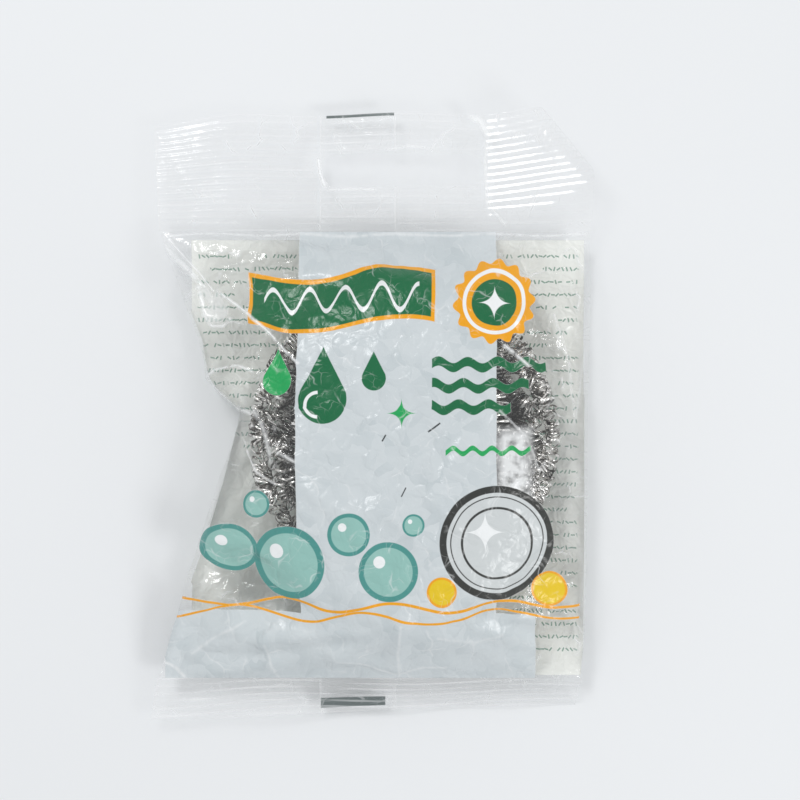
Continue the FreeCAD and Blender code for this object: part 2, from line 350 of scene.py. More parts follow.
class PrintPlan:
    """Draws flat shapes in the film's own millimetres, as distances that are negative inside."""

    def __init__(self, bench: Bench) -> None:
        """Reads where each point of the film lies on the print."""
        self.bench = bench
        self.place = bench.value("ShaderNodeAttribute", {"attribute_name": PRINT_PLACE}, output="Vector")
        parts = bench.node("ShaderNodeSeparateXYZ", inputs={0: self.place})
        self.x = Value(bench, parts.outputs["X"])
        self.y = Value(bench, parts.outputs["Y"])

    def disc(self, x: float, y: float, radius: float) -> Value:
        """Round disc."""
        return self.bench.vector("DISTANCE", self.place, (x, y, 0.0), output="Value") - radius

    def ring(self, x: float, y: float, radius: float, width: float) -> Value:
        """Round ring, by the radius of its middle line."""
        return abs(self.disc(x, y, radius)) - width / 2

    def panel(self, x: float, y: float, width: float, height: float) -> Value:
        """Upright panel about its middle."""
        return (abs(self.x - x) - width / 2).most(abs(self.y - y) - height / 2)

    def ripple(self, left: float, right: float, y: float, swing: float, length: float, phase: float,
               width: float) -> Value:
        """Wavy line.

        Args:
            left: Where it starts across the film.
            right: Where it ends.
            y: Its middle height.
            swing: Height of a wave over the middle.
            length: From one crest to the next.
            phase: Where in a wave it starts, in radians.
            width: Width of the line.

        Returns:
            Distance to the line.
        """
        wave = (self.x * (2 * math.pi / length) + phase).sine() * swing
        line = abs(self.y - y - wave) - width / 2
        return line.most(abs(self.x - (left + right) / 2) - (right - left) / 2)

    def rosette(self, x: float, y: float, radius: float, swing: float, petals: int) -> Value:
        """Scalloped disc."""
        turn = self.bench.math("ARCTAN2", self.y - y, self.x - x)
        return self.disc(x, y, radius) - (turn * petals).sine() * swing

    def drop(self, x: float, y: float, radius: float) -> Value:
        """Water drop with its tip up."""
        sine, cosine = 0.46, 0.888
        rise = self.y - y
        cone = abs(self.x - x) * cosine + rise * sine - radius
        return self.disc(x, y, radius).least(cone.most(radius * sine - rise))

    def sparkle(self, x: float, y: float, reach: float) -> Value:
        """Star of four points with hollow sides."""
        across = (abs(self.x - x) / reach) ** 0.5
        along = (abs(self.y - y) / reach) ** 0.5
        return (across + along - 1.0) * (reach / 2)

    def stroke(self, x: float, y: float, length: float, degrees: float, width: float) -> Value:
        """Short straight stroke about its middle.

        Args:
            x: Middle across the film.
            y: Middle along the film.
            length: Length of the stroke.
            degrees: Turn from the X axis.
            width: Width of the stroke.

        Returns:
            Distance to the stroke.
        """
        cosine, sine = math.cos(math.radians(degrees)), math.sin(math.radians(degrees))
        off_x, off_y = self.x - x, self.y - y
        along = off_x * cosine + off_y * sine
        across = off_y * cosine - off_x * sine
        return (abs(along) - length / 2).most(abs(across) - width / 2)

    def fold(self, fold: Fold) -> Value:
        """White mask of a crease, partly stress whitening and partly a painted highlight, which fades to
        both sides of it.

        Args:
            fold: The crease.

        Returns:
            Its white, from 0 to 1.
        """
        bench = self.bench
        pieces = []
        for start, end in zip(fold.points, fold.points[1:]):
            run = (end[0] - start[0], end[1] - start[1], 0.0)
            size = run[0] ** 2 + run[1] ** 2
            off = bench.vector("SUBTRACT", self.place, (*start, 0.0))
            along = bench.vector("DOT_PRODUCT", off, run, output="Value")
            share = bench.math("DIVIDE", along, size, clamp=True)
            near = bench.value("ShaderNodeVectorMath", {"operation": "SCALE"}, {0: run, "Scale": share})
            pieces.append(bench.vector("DISTANCE", off, near, output="Value"))
        fade = bench.math("MULTIPLY_ADD", self.union(*pieces), -1 / fold.width, 1.0, clamp=True)
        return fade * fold.white_and_glint

    def noise(self, scale: float, detail: float = 2.0, stretch: tuple[float, float] = (1.0, 1.0)) -> Value:
        """Noise over the film.

        Args:
            scale: Patches in a millimetre.
            detail: Octaves.
            stretch: Factors for the scale across and along the film.

        Returns:
            Noise, about 0.5.
        """
        return self.bench.noise(self.bench.vector("MULTIPLY", self.place, (*stretch, 1.0)), scale, detail)

    def union(self, *shapes: Value) -> Value:
        """Shapes printed in one ink."""
        whole = shapes[0]
        for shape in shapes[1:]:
            whole = whole.least(shape)
        return whole


class InkStack:
    """Inks printed one over the other on clear film."""

    edge = 0.14

    def __init__(self, bench: Bench, haze: float) -> None:
        """Starts with bare film that has a little haze."""
        self.bench = bench
        self.colour: Value | Colour = Ink.WHITE_HAZE_AND_GLINT.value
        self.cover: Value | float = haze

    def lay(self, shape: Value, ink: Ink, strength: float = 0.97) -> None:
        """Prints a shape over what is there.

        Args:
            shape: Distance that is negative inside the shape.
            ink: Its ink.
            strength: How far the ink hides what is behind it.
        """
        self.lay_mask((shape * -1.0).above(0.0, self.edge), ink, strength)

    def lay_mask(self, mask: Value, ink: Ink, strength: float) -> None:
        """Prints a mask over what is there, as lay does."""
        self.colour = self.bench.mixed(mask, self.colour, ink.value)
        self.cover = self.cover + (strength - self.cover) * mask


# Finishes


@dataclass(frozen=True)
class FilmFinish:
    """Clear glossy film, bare. The printed films add their inks and creases."""

    name: str = "clear_film"
    haze: float = 0.03
    see_through: float = 0.997
    head_on_gloss: float = 0.035
    gloss_roughness: float = 0.08
    ink_roughness: float = 0.28
    crease_depth: float = 0.5
    crease_white_and_glint_cover: float = 0.85

    def inks(self, plan: PrintPlan, web: tuple[Value, ...]) -> InkStack:
        """Gives the inks on the film.

        Args:
            plan: Where the film's points lie.
            web: Nets of fine creases.

        Returns:
            The stack of inks.
        """
        return InkStack(plan.bench, self.haze)

    def web(self, plan: PrintPlan) -> tuple[Value, ...]:
        """Nets of fine creases that the film takes when it is handled.

        Args:
            plan: Where the film's points lie.

        Returns:
            Distance to a wide net, distance to a fine net, soft ripples, and a random painted shade for
            each facet.
        """
        bench = plan.bench
        drift = bench.noise(plan.place, 0.16, output=1)
        bent = bench.vector("MULTIPLY_ADD", drift, (7.0, 7.0, 0.0), plan.place)
        edges = {"feature": "DISTANCE_TO_EDGE", "voronoi_dimensions": "2D"}
        wide = bench.value("ShaderNodeTexVoronoi", edges, {"Vector": bent, "Scale": 0.13})
        fine = bench.value("ShaderNodeTexVoronoi", edges, {"Vector": bent, "Scale": 0.42})
        ripple = bench.noise(bent, 0.5, 3.0)
        facet_shade = bench.value("ShaderNodeTexVoronoi", {"voronoi_dimensions": "2D"},
                           {"Vector": bent, "Scale": 0.42}, "Color")
        return wide, fine, ripple, bench.value("ShaderNodeSeparateXYZ", {}, {0: facet_shade})

    def whitening_and_glints(self, plan: PrintPlan, web: tuple[Value, ...]) -> Value:
        """Where creases have turned the film white, partly stress whitening and partly painted highlights
        along the crease lines.

        Args:
            plan: Where the film's points lie.
            web: Nets of fine creases.

        Returns:
            White, from 0 to 1.
        """
        lines = (0.02 - web[0]).above(0.0, 0.03) * 0.35
        threads = (0.03 - web[1]).above(0.0, 0.05) * 0.18
        return lines.most(threads) * plan.noise(0.21, 3.0).above(0.56, 0.12)

    def material(self) -> bpy.types.Material:
        """Builds the material.

        Returns:
            See-through film with a sheen, hidden where ink covers it.
        """
        bench = Bench(self.name)
        plan = PrintPlan(bench)
        web = self.web(plan)
        stack = self.inks(plan, web)
        # Lays the crease white over the inks: partly stress whitening, partly painted highlights.
        stack.lay_mask(self.whitening_and_glints(plan, web), Ink.WHITE_HAZE_AND_GLINT, self.crease_white_and_glint_cover)
        height = web[0].least(0.35) * 1.6 + web[1].least(0.3) * 0.55 + web[2] * 0.5
        normal = bench.value("ShaderNodeBump", {}, {
            "Strength": 0.7, "Distance": self.crease_depth * MM, "Height": height})
        facing = bench.value("ShaderNodeLayerWeight", {}, {"Blend": 0.5}, "Facing")
        gloss = facing ** 5 * (1 - self.head_on_gloss) + self.head_on_gloss
        clear = bench.node("ShaderNodeBsdfTransparent", inputs={"Color": (*[self.see_through] * 3, 1.0)})
        sheen = bench.node("ShaderNodeBsdfPrincipled", inputs={
            "Base Color": (1.0, 1.0, 1.0, 1.0), "Metallic": 1.0, "Roughness": self.gloss_roughness,
            "Normal": normal})
        ink = bench.node("ShaderNodeBsdfPrincipled", inputs={
            "Base Color": stack.colour, "Roughness": self.ink_roughness, "Normal": normal})
        film = bench.blend(gloss, clear, sheen)
        return bench.finish(bench.blend(stack.cover, film, ink))


@dataclass(frozen=True)
class FrontPrint(FilmFinish):
    """Front film: a wide white strip between clear windows, with a generic washing up print."""

    name: str = "printed_front_film"
    strip_middle: float = 5.3
    strip_width: float = 43.2
    strip_strength: float = 0.93

    def inks(self, plan: PrintPlan, web: tuple[Value, ...]) -> InkStack:
        """Lays the strip, then the print from the header to the tail.

        Args:
            plan: Where the film's points lie.
            web: Nets of fine creases.

        Returns:
            The stack of inks.
        """
        stack = super().inks(plan, web)
        # Painted reflection of a lamp: a glare patch on the right window.
        glare = (plan.panel(30.6, -12.8, 6.6, 19.0) * -1.0).above(0.0, 3.0)
        stack.lay_mask(glare * plan.noise(0.4, 2.0).above(0.36, 0.34), Ink.WHITE_HAZE_AND_GLINT, 0.8)
        strip = plan.union(plan.panel(self.strip_middle, 0.0, self.strip_width, 200.0),
                           plan.panel(-5.2, -52.0, 81.6, 17.6))
        stack.lay(strip, Ink.STRIP, self.strip_strength)
        # Painted shade on the strip's crumpled facets: each facet gets its own darkness, as if lit at its
        # own angle.
        painted_facet_shade = (strip * -1.0).above(0.0, InkStack.edge) * web[3] * plan.noise(0.09).above(0.45, 0.3)
        stack.lay_mask(painted_facet_shade * 0.6, Ink.STRIP_SHADE, self.strip_strength)
        self.print_ribbon(plan, stack)
        self.print_rosette(plan, stack)
        self.print_drops(plan, stack)
        self.print_bubbles(plan, stack)
        self.print_plate(plan, stack)
        self.print_pokes(plan, stack)
        return stack

    def print_ribbon(self, plan: PrintPlan, stack: InkStack) -> None:
        """Prints a waving green ribbon with an orange edge and a pale thread."""
        stack.lay(plan.ripple(-27.5, 13.5, 25.0, 1.5, 41.0, 0.6, 11.4), Ink.ORANGE)
        stack.lay(plan.ripple(-26.7, 12.7, 25.0, 1.5, 41.0, 0.6, 9.6), Ink.DARK_GREEN)
        stack.lay(plan.ripple(-24.0, 10.0, 25.0, 2.4, 8.0, 0.0, 1.0), Ink.WHITE, 0.9)

    def print_rosette(self, plan: PrintPlan, stack: InkStack) -> None:
        """Prints an orange rosette with a green heart."""
        stack.lay(plan.rosette(26.5, 24.5, 8.6, 0.6, 14), Ink.ORANGE)
        stack.lay(plan.ring(26.5, 24.5, 6.6, 0.8), Ink.WHITE)
        stack.lay(plan.disc(26.5, 24.5, 5.0), Ink.DARK_GREEN)
        stack.lay(plan.sparkle(26.5, 24.5, 3.8), Ink.WHITE)

    def print_drops(self, plan: PrintPlan, stack: InkStack) -> None:
        """Prints green water drops and a block of ripples."""
        stack.lay(plan.union(plan.drop(-10.5, 3.5, 5.2), plan.drop(0.5, 8.0, 2.6)), Ink.DARK_GREEN)
        stack.lay(plan.union(plan.drop(-20.5, 7.5, 3.2), plan.sparkle(6.5, 0.5, 3.4)), Ink.GREEN)
        stack.lay(plan.ring(-11.6, 2.4, 2.6, 0.7).most(plan.x + 11.6), Ink.WHITE)
        ripples = [plan.ripple(13.0, 38.0 - 4.0 * row, 11.0 - 4.6 * row, 0.7, 6.4, row, 2.0)
                   for row in range(3)]
        stack.lay(plan.union(*ripples), Ink.DARK_GREEN)
        stack.lay(plan.ripple(16.0, 34.0, -7.6, 0.6, 4.2, 0.4, 1.1), Ink.GREEN)

    def print_bubbles(self, plan: PrintPlan, stack: InkStack) -> None:
        """Prints teal soap bubbles over two orange waves."""
        waves = [plan.ripple(-43.0, 45.0, -41.2, 1.0, 24.0, 0.4, 0.6),
                 plan.ripple(-43.0, 45.0, -43.4, 1.2, 29.0, 1.9, 0.5)]
        stack.lay(plan.union(*waves), Ink.ORANGE)
        bubbles = ((-31.0, -29.0, 5.6), (-18.5, -32.0, 8.2), (-5.0, -25.5, 4.6), (3.5, -33.5, 6.4),
                   (-25.0, -19.0, 3.0), (9.0, -23.5, 2.4))
        stack.lay(plan.union(*[plan.disc(*bubble) for bubble in bubbles]), Ink.TEAL)
        stack.lay(plan.union(*[plan.disc(x, y, r * 0.82) for x, y, r in bubbles]), Ink.PALE_TEAL)
        shines = [plan.disc(x - r * 0.3, y + r * 0.34, r * 0.2) for x, y, r in bubbles]
        stack.lay(plan.union(*shines), Ink.WHITE)

    def print_plate(self, plan: PrintPlan, stack: InkStack) -> None:
        """Prints a clean plate with a dark rim and a few suds beside it."""
        x, y = 27.0, -27.5
        stack.lay(plan.disc(x, y, 12.4), Ink.CHARCOAL)
        stack.lay(plan.disc(x, y, 10.9), Ink.SILVER)
        stack.lay(plan.union(plan.ring(x, y, 7.6, 0.5), plan.ring(x, y, 10.0, 0.25)), Ink.CHARCOAL)
        stack.lay(plan.sparkle(x - 2.6, y + 2.4, 4.6), Ink.WHITE)
        suds = ((15.0, -38.0, 3.0), (39.0, -38.0, 3.6))
        stack.lay(plan.union(*[plan.disc(*each) for each in suds]), Ink.YELLOW)
        stack.lay(plan.union(*[plan.ring(*each, 0.5) for each in suds]), Ink.ORANGE)

    def print_pokes(self, plan: PrintPlan, stack: InkStack) -> None:
        """Marks the strip where strands have poked the film."""
        pokes = [plan.stroke(2.7, -4.8, 1.6, 60.0, 0.3), plan.stroke(13.5, -2.6, 3.2, 35.0, 0.35),
                 plan.stroke(6.9, -16.4, 2.2, 62.0, 0.25)]
        stack.lay(plan.union(*pokes), Ink.TEAR, 0.7)

    def whitening_and_glints(self, plan: PrintPlan, web: tuple[Value, ...]) -> Value:
        """Where creases have turned the film white, with painted highlights along the named folds, a
        painted highlight spot at the upper left and a painted highlight along the seal line, as FilmFinish
        says.

        Args:
            plan: Where the film's points lie.
            web: Nets of fine creases.

        Returns:
            White, from 0 to 1.
        """
        white_and_glint = super().whitening_and_glints(plan, web)
        broken = plan.noise(0.6, 3.0).above(0.38, 0.3)
        for fold in FRONT_FOLDS:
            if fold.white_and_glint:
                white_and_glint = white_and_glint.most(plan.fold(fold) * broken)
        # Painted highlight spot at the upper left crease.
        highlight_blob = plan.union(plan.drop(-34.4, 22.8, 2.5), plan.stroke(-36.2, 25.8, 5.0, 125.0, 2.2))
        # Painted highlight along the seal line at the top of the pouch.
        seal_line_highlight = plan.ripple(-46.0, 47.0, 39.7, 0.25, 21.0, 0.0, 0.6) * -1.0
        white_and_glint = white_and_glint.most((highlight_blob * -1.0).above(0.0, 1.2) * 0.45)
        return white_and_glint.most(seal_line_highlight.above(0.0, 0.5) * broken * 0.6)


@dataclass(frozen=True)
class BackPrint(FilmFinish):
    """Back film: a pale tint with rows of short green dashes."""

    name: str = "printed_back_film"
    tint_strength: float = 0.8
    row_pitch: float = 2.8
    dash_pitch: float = 0.92

    def inks(self, plan: PrintPlan, web: tuple[Value, ...]) -> InkStack:
        """Lays the tint and the rows of dashes at both sides.

        Args:
            plan: Where the film's points lie.
            web: Nets of fine creases.

        Returns:
            The stack of inks.
        """
        stack = super().inks(plan, web)
        stack.lay(plan.panel(3.1, -9.4, 86.8, 96.0), Ink.BACK_TINT, self.tint_strength)
        places = plan.union(plan.panel(-28.0, 13.0, 22.0, 48.0), plan.panel(37.0, -8.0, 16.5, 90.0))
        inside = (places * -1.0).above(0.0, 0.6)
        stack.lay_mask(self.dashes(plan) * inside, Ink.BACK_GREEN, 0.75)
        return stack

    def dashes(self, plan: PrintPlan) -> Value:
        """Rows of dashes that lie every way, with gaps.

        Args:
            plan: Where the film's points lie.

        Returns:
            Mask of the dashes.
        """
        bench = plan.bench
        row = plan.y / self.row_pitch
        column = plan.x / self.dash_pitch + row.floor() * 0.37
        chance = self.chance(bench, column.floor(), row.floor())
        run = self.chance(bench, (column / 8.0 + row.floor() * 0.31).floor(), row.floor())
        across = (column - column.floor() - 0.5) * self.dash_pitch
        along = (row - row.floor() - 0.5) * self.row_pitch
        sine, cosine = (chance * 19.0).sine(), (chance * 19.0 + math.pi / 2).sine()
        length = abs(across * cosine + along * sine) - 0.46
        width = abs(along * cosine - across * sine) - 0.15
        return (length.most(width) * -1.0).above(0.0, 0.12) * chance.above(0.1, 0.02) * run.above(0.2, 0.02)

    def chance(self, bench: Bench, column: Value, row: Value) -> Value:
        """Random number from 0 to 1 for a cell."""
        cell = bench.value("ShaderNodeCombineXYZ", {}, {"X": column, "Y": row})
        return bench.value("ShaderNodeTexWhiteNoise", {"noise_dimensions": "2D"}, {"Vector": cell})


@dataclass(frozen=True)
class CrimpedFilm(FilmFinish):
    """Clear film of the end seals, welded in two plies, with a plain register mark at its edge."""

    name: str = "crimped_film"
    haze: float = 0.05
    head_on_gloss: float = 0.05
    gloss_roughness: float = 0.12
    crease_depth: float = 0.1
    mark: tuple[float, float, float, float] = (-3.0, 66.6, 15.0, 1.4)
    line: float = 40.4
    rib_pitch: float = 1.5
    rib_white_and_highlight: float = 0.2
    wave: float = 0.0
    band_edges: tuple[float, float] = (-11.8, 4.8)
    glint_folds: tuple[Fold, ...] = ()

    def inks(self, plan: PrintPlan, web: tuple[Value, ...]) -> InkStack:
        """Lays the register mark.

        Args:
            plan: Where the film's points lie.
            web: Nets of fine creases.

        Returns:
            The stack of inks.
        """
        stack = super().inks(plan, web)
        stack.lay(plan.panel(*self.mark), Ink.MARK_GREY, 0.85)
        return stack

    def whitening_and_glints(self, plan: PrintPlan, web: tuple[Value, ...]) -> Value:
        """Where the ribs and the edges of the fin are white, with the rib crests partly a painted highlight
        and painted glints along the given folds, as FilmFinish says.

        Args:
            plan: Where the film's points lie.
            web: Nets of fine creases.

        Returns:
            White, from 0 to 1.
        """
        wave = (plan.x * 0.11 + 0.7).sine() * self.wave
        # Rib crests painted white: partly crimp whitening and partly a painted highlight on the crests.
        crest = ((plan.y - self.line + wave) * (2 * math.pi / self.rib_pitch)).sine().above(0.6, 0.8)
        ribs = crest * plan.noise(0.5, 2.0, (0.12, 1.6)).above(0.5, 0.3) * self.rib_white_and_highlight
        left, right = (abs(plan.x - edge) for edge in self.band_edges)
        white_and_glint = super().whitening_and_glints(plan, web).most(ribs)
        white_and_glint = white_and_glint.most((left.least(right) * -1.0).above(-0.2, 0.25) * 0.18)
        broken = plan.noise(0.6, 3.0).above(0.38, 0.3)
        # Painted glints along the given folds.
        for fold in self.glint_folds:
            white_and_glint = white_and_glint.most(plan.fold(fold) * broken)
        return white_and_glint


@dataclass(frozen=True)
class SteelFinish:
    """Bright rolled stainless ribbon, with painted shade in the depth of the tangle and painted reflections
    in patches.
    """

    name: str = "rolled_steel"
    painted_depth_shade: Colour = (0.02, 0.02, 0.02, 1.0)
    dark_reflection: Colour = (0.11, 0.10, 0.09, 1.0)
    bright_reflection: Colour = (0.97, 0.95, 0.92, 1.0)

    def material(self) -> bpy.types.Material:
        """Builds the material.

        Returns:
            Metal with painted bright and dark reflections in patches and painted shade in the depth, with
            rolling marks.
        """
        bench = Bench(self.name)
        place = bench.value("ShaderNodeTexCoord", output="Object")
        outer = bench.value("ShaderNodeAttribute", {"attribute_name": OUTER_SHARE}, output="Fac")
        patch = bench.noise(place, 340.0)
        streak = bench.noise(bench.vector("MULTIPLY", place, (1.0, 1.0, 5.0)), 1800.0)
        normal = bench.value("ShaderNodeBump", {}, {
            "Strength": 0.2, "Distance": 0.02 * MM, "Height": streak})
        # Painted reflections: patches of near black and near white stand for dark and bright surroundings
        # mirrored in the strands.
        painted_reflection = bench.mixed(patch.above(0.46, 0.14), self.dark_reflection, self.bright_reflection)
        steel = bench.node("ShaderNodeBsdfPrincipled", inputs={
            # Painted shade: strands deep in the tangle turn near black.
            "Base Color": bench.mixed(outer.above(0.78, 0.3), self.painted_depth_shade, painted_reflection),
            "Metallic": 1.0, "Roughness": streak * 0.2 + 0.08, "Normal": normal})
        return bench.finish(steel)


@dataclass(frozen=True)
class TableFinish:
    """Matt white table."""

    name: str = "white_table"
    colour: Colour = display_colour(236, 238, 240)
    shade: Colour = display_colour(232, 234, 236)

    def material(self) -> bpy.types.Material:
        """Builds the material.

        Returns:
            Pale matt paint with a faint drift in its tone.
        """
        bench = Bench(self.name)
        place = bench.value("ShaderNodeTexCoord", output="Object")
        drift = bench.noise(place, 6.0)
        paint = bench.node("ShaderNodeBsdfPrincipled", inputs={
            "Base Color": bench.mixed(drift, self.colour, self.shade), "Roughness": 0.9,
            "Specular IOR Level": 0.1})
        return bench.finish(paint)


# Mesh tools


def pick(*objects: bpy.types.Object) -> None:
    """Leaves only these objects selected, with the first one active."""
    bpy.ops.object.select_all(action="DESELECT")
    for each in objects:
        each.select_set(True)
    bpy.context.view_layer.objects.active = objects[0]


def unit_grid(name: str, columns: int, rows: int) -> bpy.types.Object:
    """Adds a flat grid one unit wide and long, about the origin.

    Args:
        name: Name of the object.
        columns: Faces across.
        rows: Faces along.

    Returns:
        The grid, with a map that covers it once.
    """
    bpy.ops.object.select_all(action="DESELECT")
    bpy.ops.mesh.primitive_grid_add(x_subdivisions=columns, y_subdivisions=rows, size=1)
    made = bpy.context.object
    made.name = name
    made.data.uv_layers[0].name = BAKE_MAP
    return made


def points_of(mesh: bpy.types.Mesh) -> np.ndarray:
    """Points of a mesh, one row each."""
    flat = np.empty(len(mesh.vertices) * 3, np.float32)
    mesh.vertices.foreach_get("co", flat)
    return flat.reshape(-1, 3).astype(float)


def move_points(mesh: bpy.types.Mesh, points: np.ndarray) -> None:
    """Puts each point of a mesh at its row of points."""
    mesh.vertices.foreach_set("co", points.astype(np.float32).ravel())
    mesh.update()


def vectors_of(mesh: bpy.types.Mesh, name: str) -> np.ndarray:
    """Reads a vector attribute of a mesh's points, one row each."""
    flat = np.empty(len(mesh.vertices) * 3, np.float32)
    mesh.attributes[name].data.foreach_get("vector", flat)
    return flat.reshape(-1, 3)


def note_vectors(mesh: bpy.types.Mesh, name: str, rows: np.ndarray) -> None:
    """Writes a vector attribute of a mesh's points, from one row each."""
    made = mesh.attributes.new(name, "FLOAT_VECTOR", "POINT")
    made.data.foreach_set("vector", rows.astype(np.float32).ravel())


def note_print(mesh: bpy.types.Mesh, x: np.ndarray, y: np.ndarray) -> None:
    """Writes where each point lies on the print, in millimetres."""
    note_vectors(mesh, PRINT_PLACE, np.stack([x, y, np.zeros_like(x)], axis=1))


def edit(obj: bpy.types.Object, operator: Callable[..., object], **options: object) -> None:
    """Runs a mesh operator on all of a piece in edit mode.

    Args:
        obj: The piece.
        operator: Operator of bpy.ops.mesh.
        options: What it takes.
    """
    pick(obj)
    bpy.ops.object.mode_set(mode="EDIT")
    bpy.ops.mesh.select_all(action="SELECT")
    operator(**options)
    bpy.ops.object.mode_set(mode="OBJECT")


def modify(obj: bpy.types.Object, kind: str, **settings: object) -> None:
    """Adds a modifier with these settings and applies it."""
    pick(obj)
    modifier = obj.modifiers.new(kind.title(), kind)
    for key, setting in settings.items():
        setattr(modifier, key, setting)
    bpy.ops.object.modifier_apply(modifier=modifier.name)


def cut_copy(obj: bpy.types.Object, name: str, *cuts: tuple[int, float, int]) -> bpy.types.Object:
    """Copies a piece and cuts the copy with planes.

    Args:
        obj: Piece to copy.
        name: Name of the copy.
        cuts: For each plane its axis, its place in millimetres, and 1 to drop what lies past it or -1
            to drop what lies before it.

    Returns:
        What is left of the copy.
    """
    made = obj.copy()
    made.data = obj.data.copy()
    made.name = name
    bpy.context.collection.objects.link(made)
    for axis, place, side in cuts:
        point, normal = [0.0] * 3, [0.0] * 3
        point[axis], normal[axis] = place * MM, float(side)
        edit(made, bpy.ops.mesh.bisect, plane_co=point, plane_no=normal, clear_outer=True)
    return made


def settle(value: np.ndarray, start: float, end: float) -> np.ndarray:
    """Smooth step from 0 at start to 1 at end."""
    share = np.clip((value - start) / (end - start), 0.0, 1.0)
    return share * share * (3 - 2 * share)


def dress(obj: bpy.types.Object, body: str, slot: str, *nodes: str,
          material: bpy.types.Material | None = None) -> bpy.types.Object:
    """Gives a piece its finish and its place in the frame.

    Args:
        obj: Finished piece.
        body: Body that it rides on.
        slot: Material slot of the record, not used.
        nodes: Nodes that it stands for.
        material: Its finish, unless it has one.

    Returns:
        The piece.
    """
    obj.data.name = obj.name
    if material:
        obj.data.materials.clear()
        obj.data.materials.append(material)
    obj.data.shade_smooth()
    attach(obj, body)
    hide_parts(*nodes)
    log.info("%s rides on %s with %d faces", obj.name, body, len(obj.data.polygons))
    return obj


def joint_named(name: str) -> dict:
    """A joint of the frame, by name."""
    return next(joint for joint in frame["joints"] if joint["name"] == name)


def box_of(*nodes: str) -> tuple[np.ndarray, np.ndarray]:
    """Lowest and highest corner of some nodes together, in millimetres."""
    corners = [np.array([tuple(corner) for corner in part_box(node)]) / MM for node in nodes]
    return np.min([pair[0] for pair in corners], axis=0), np.max([pair[1] for pair in corners], axis=0)


# Scrubber


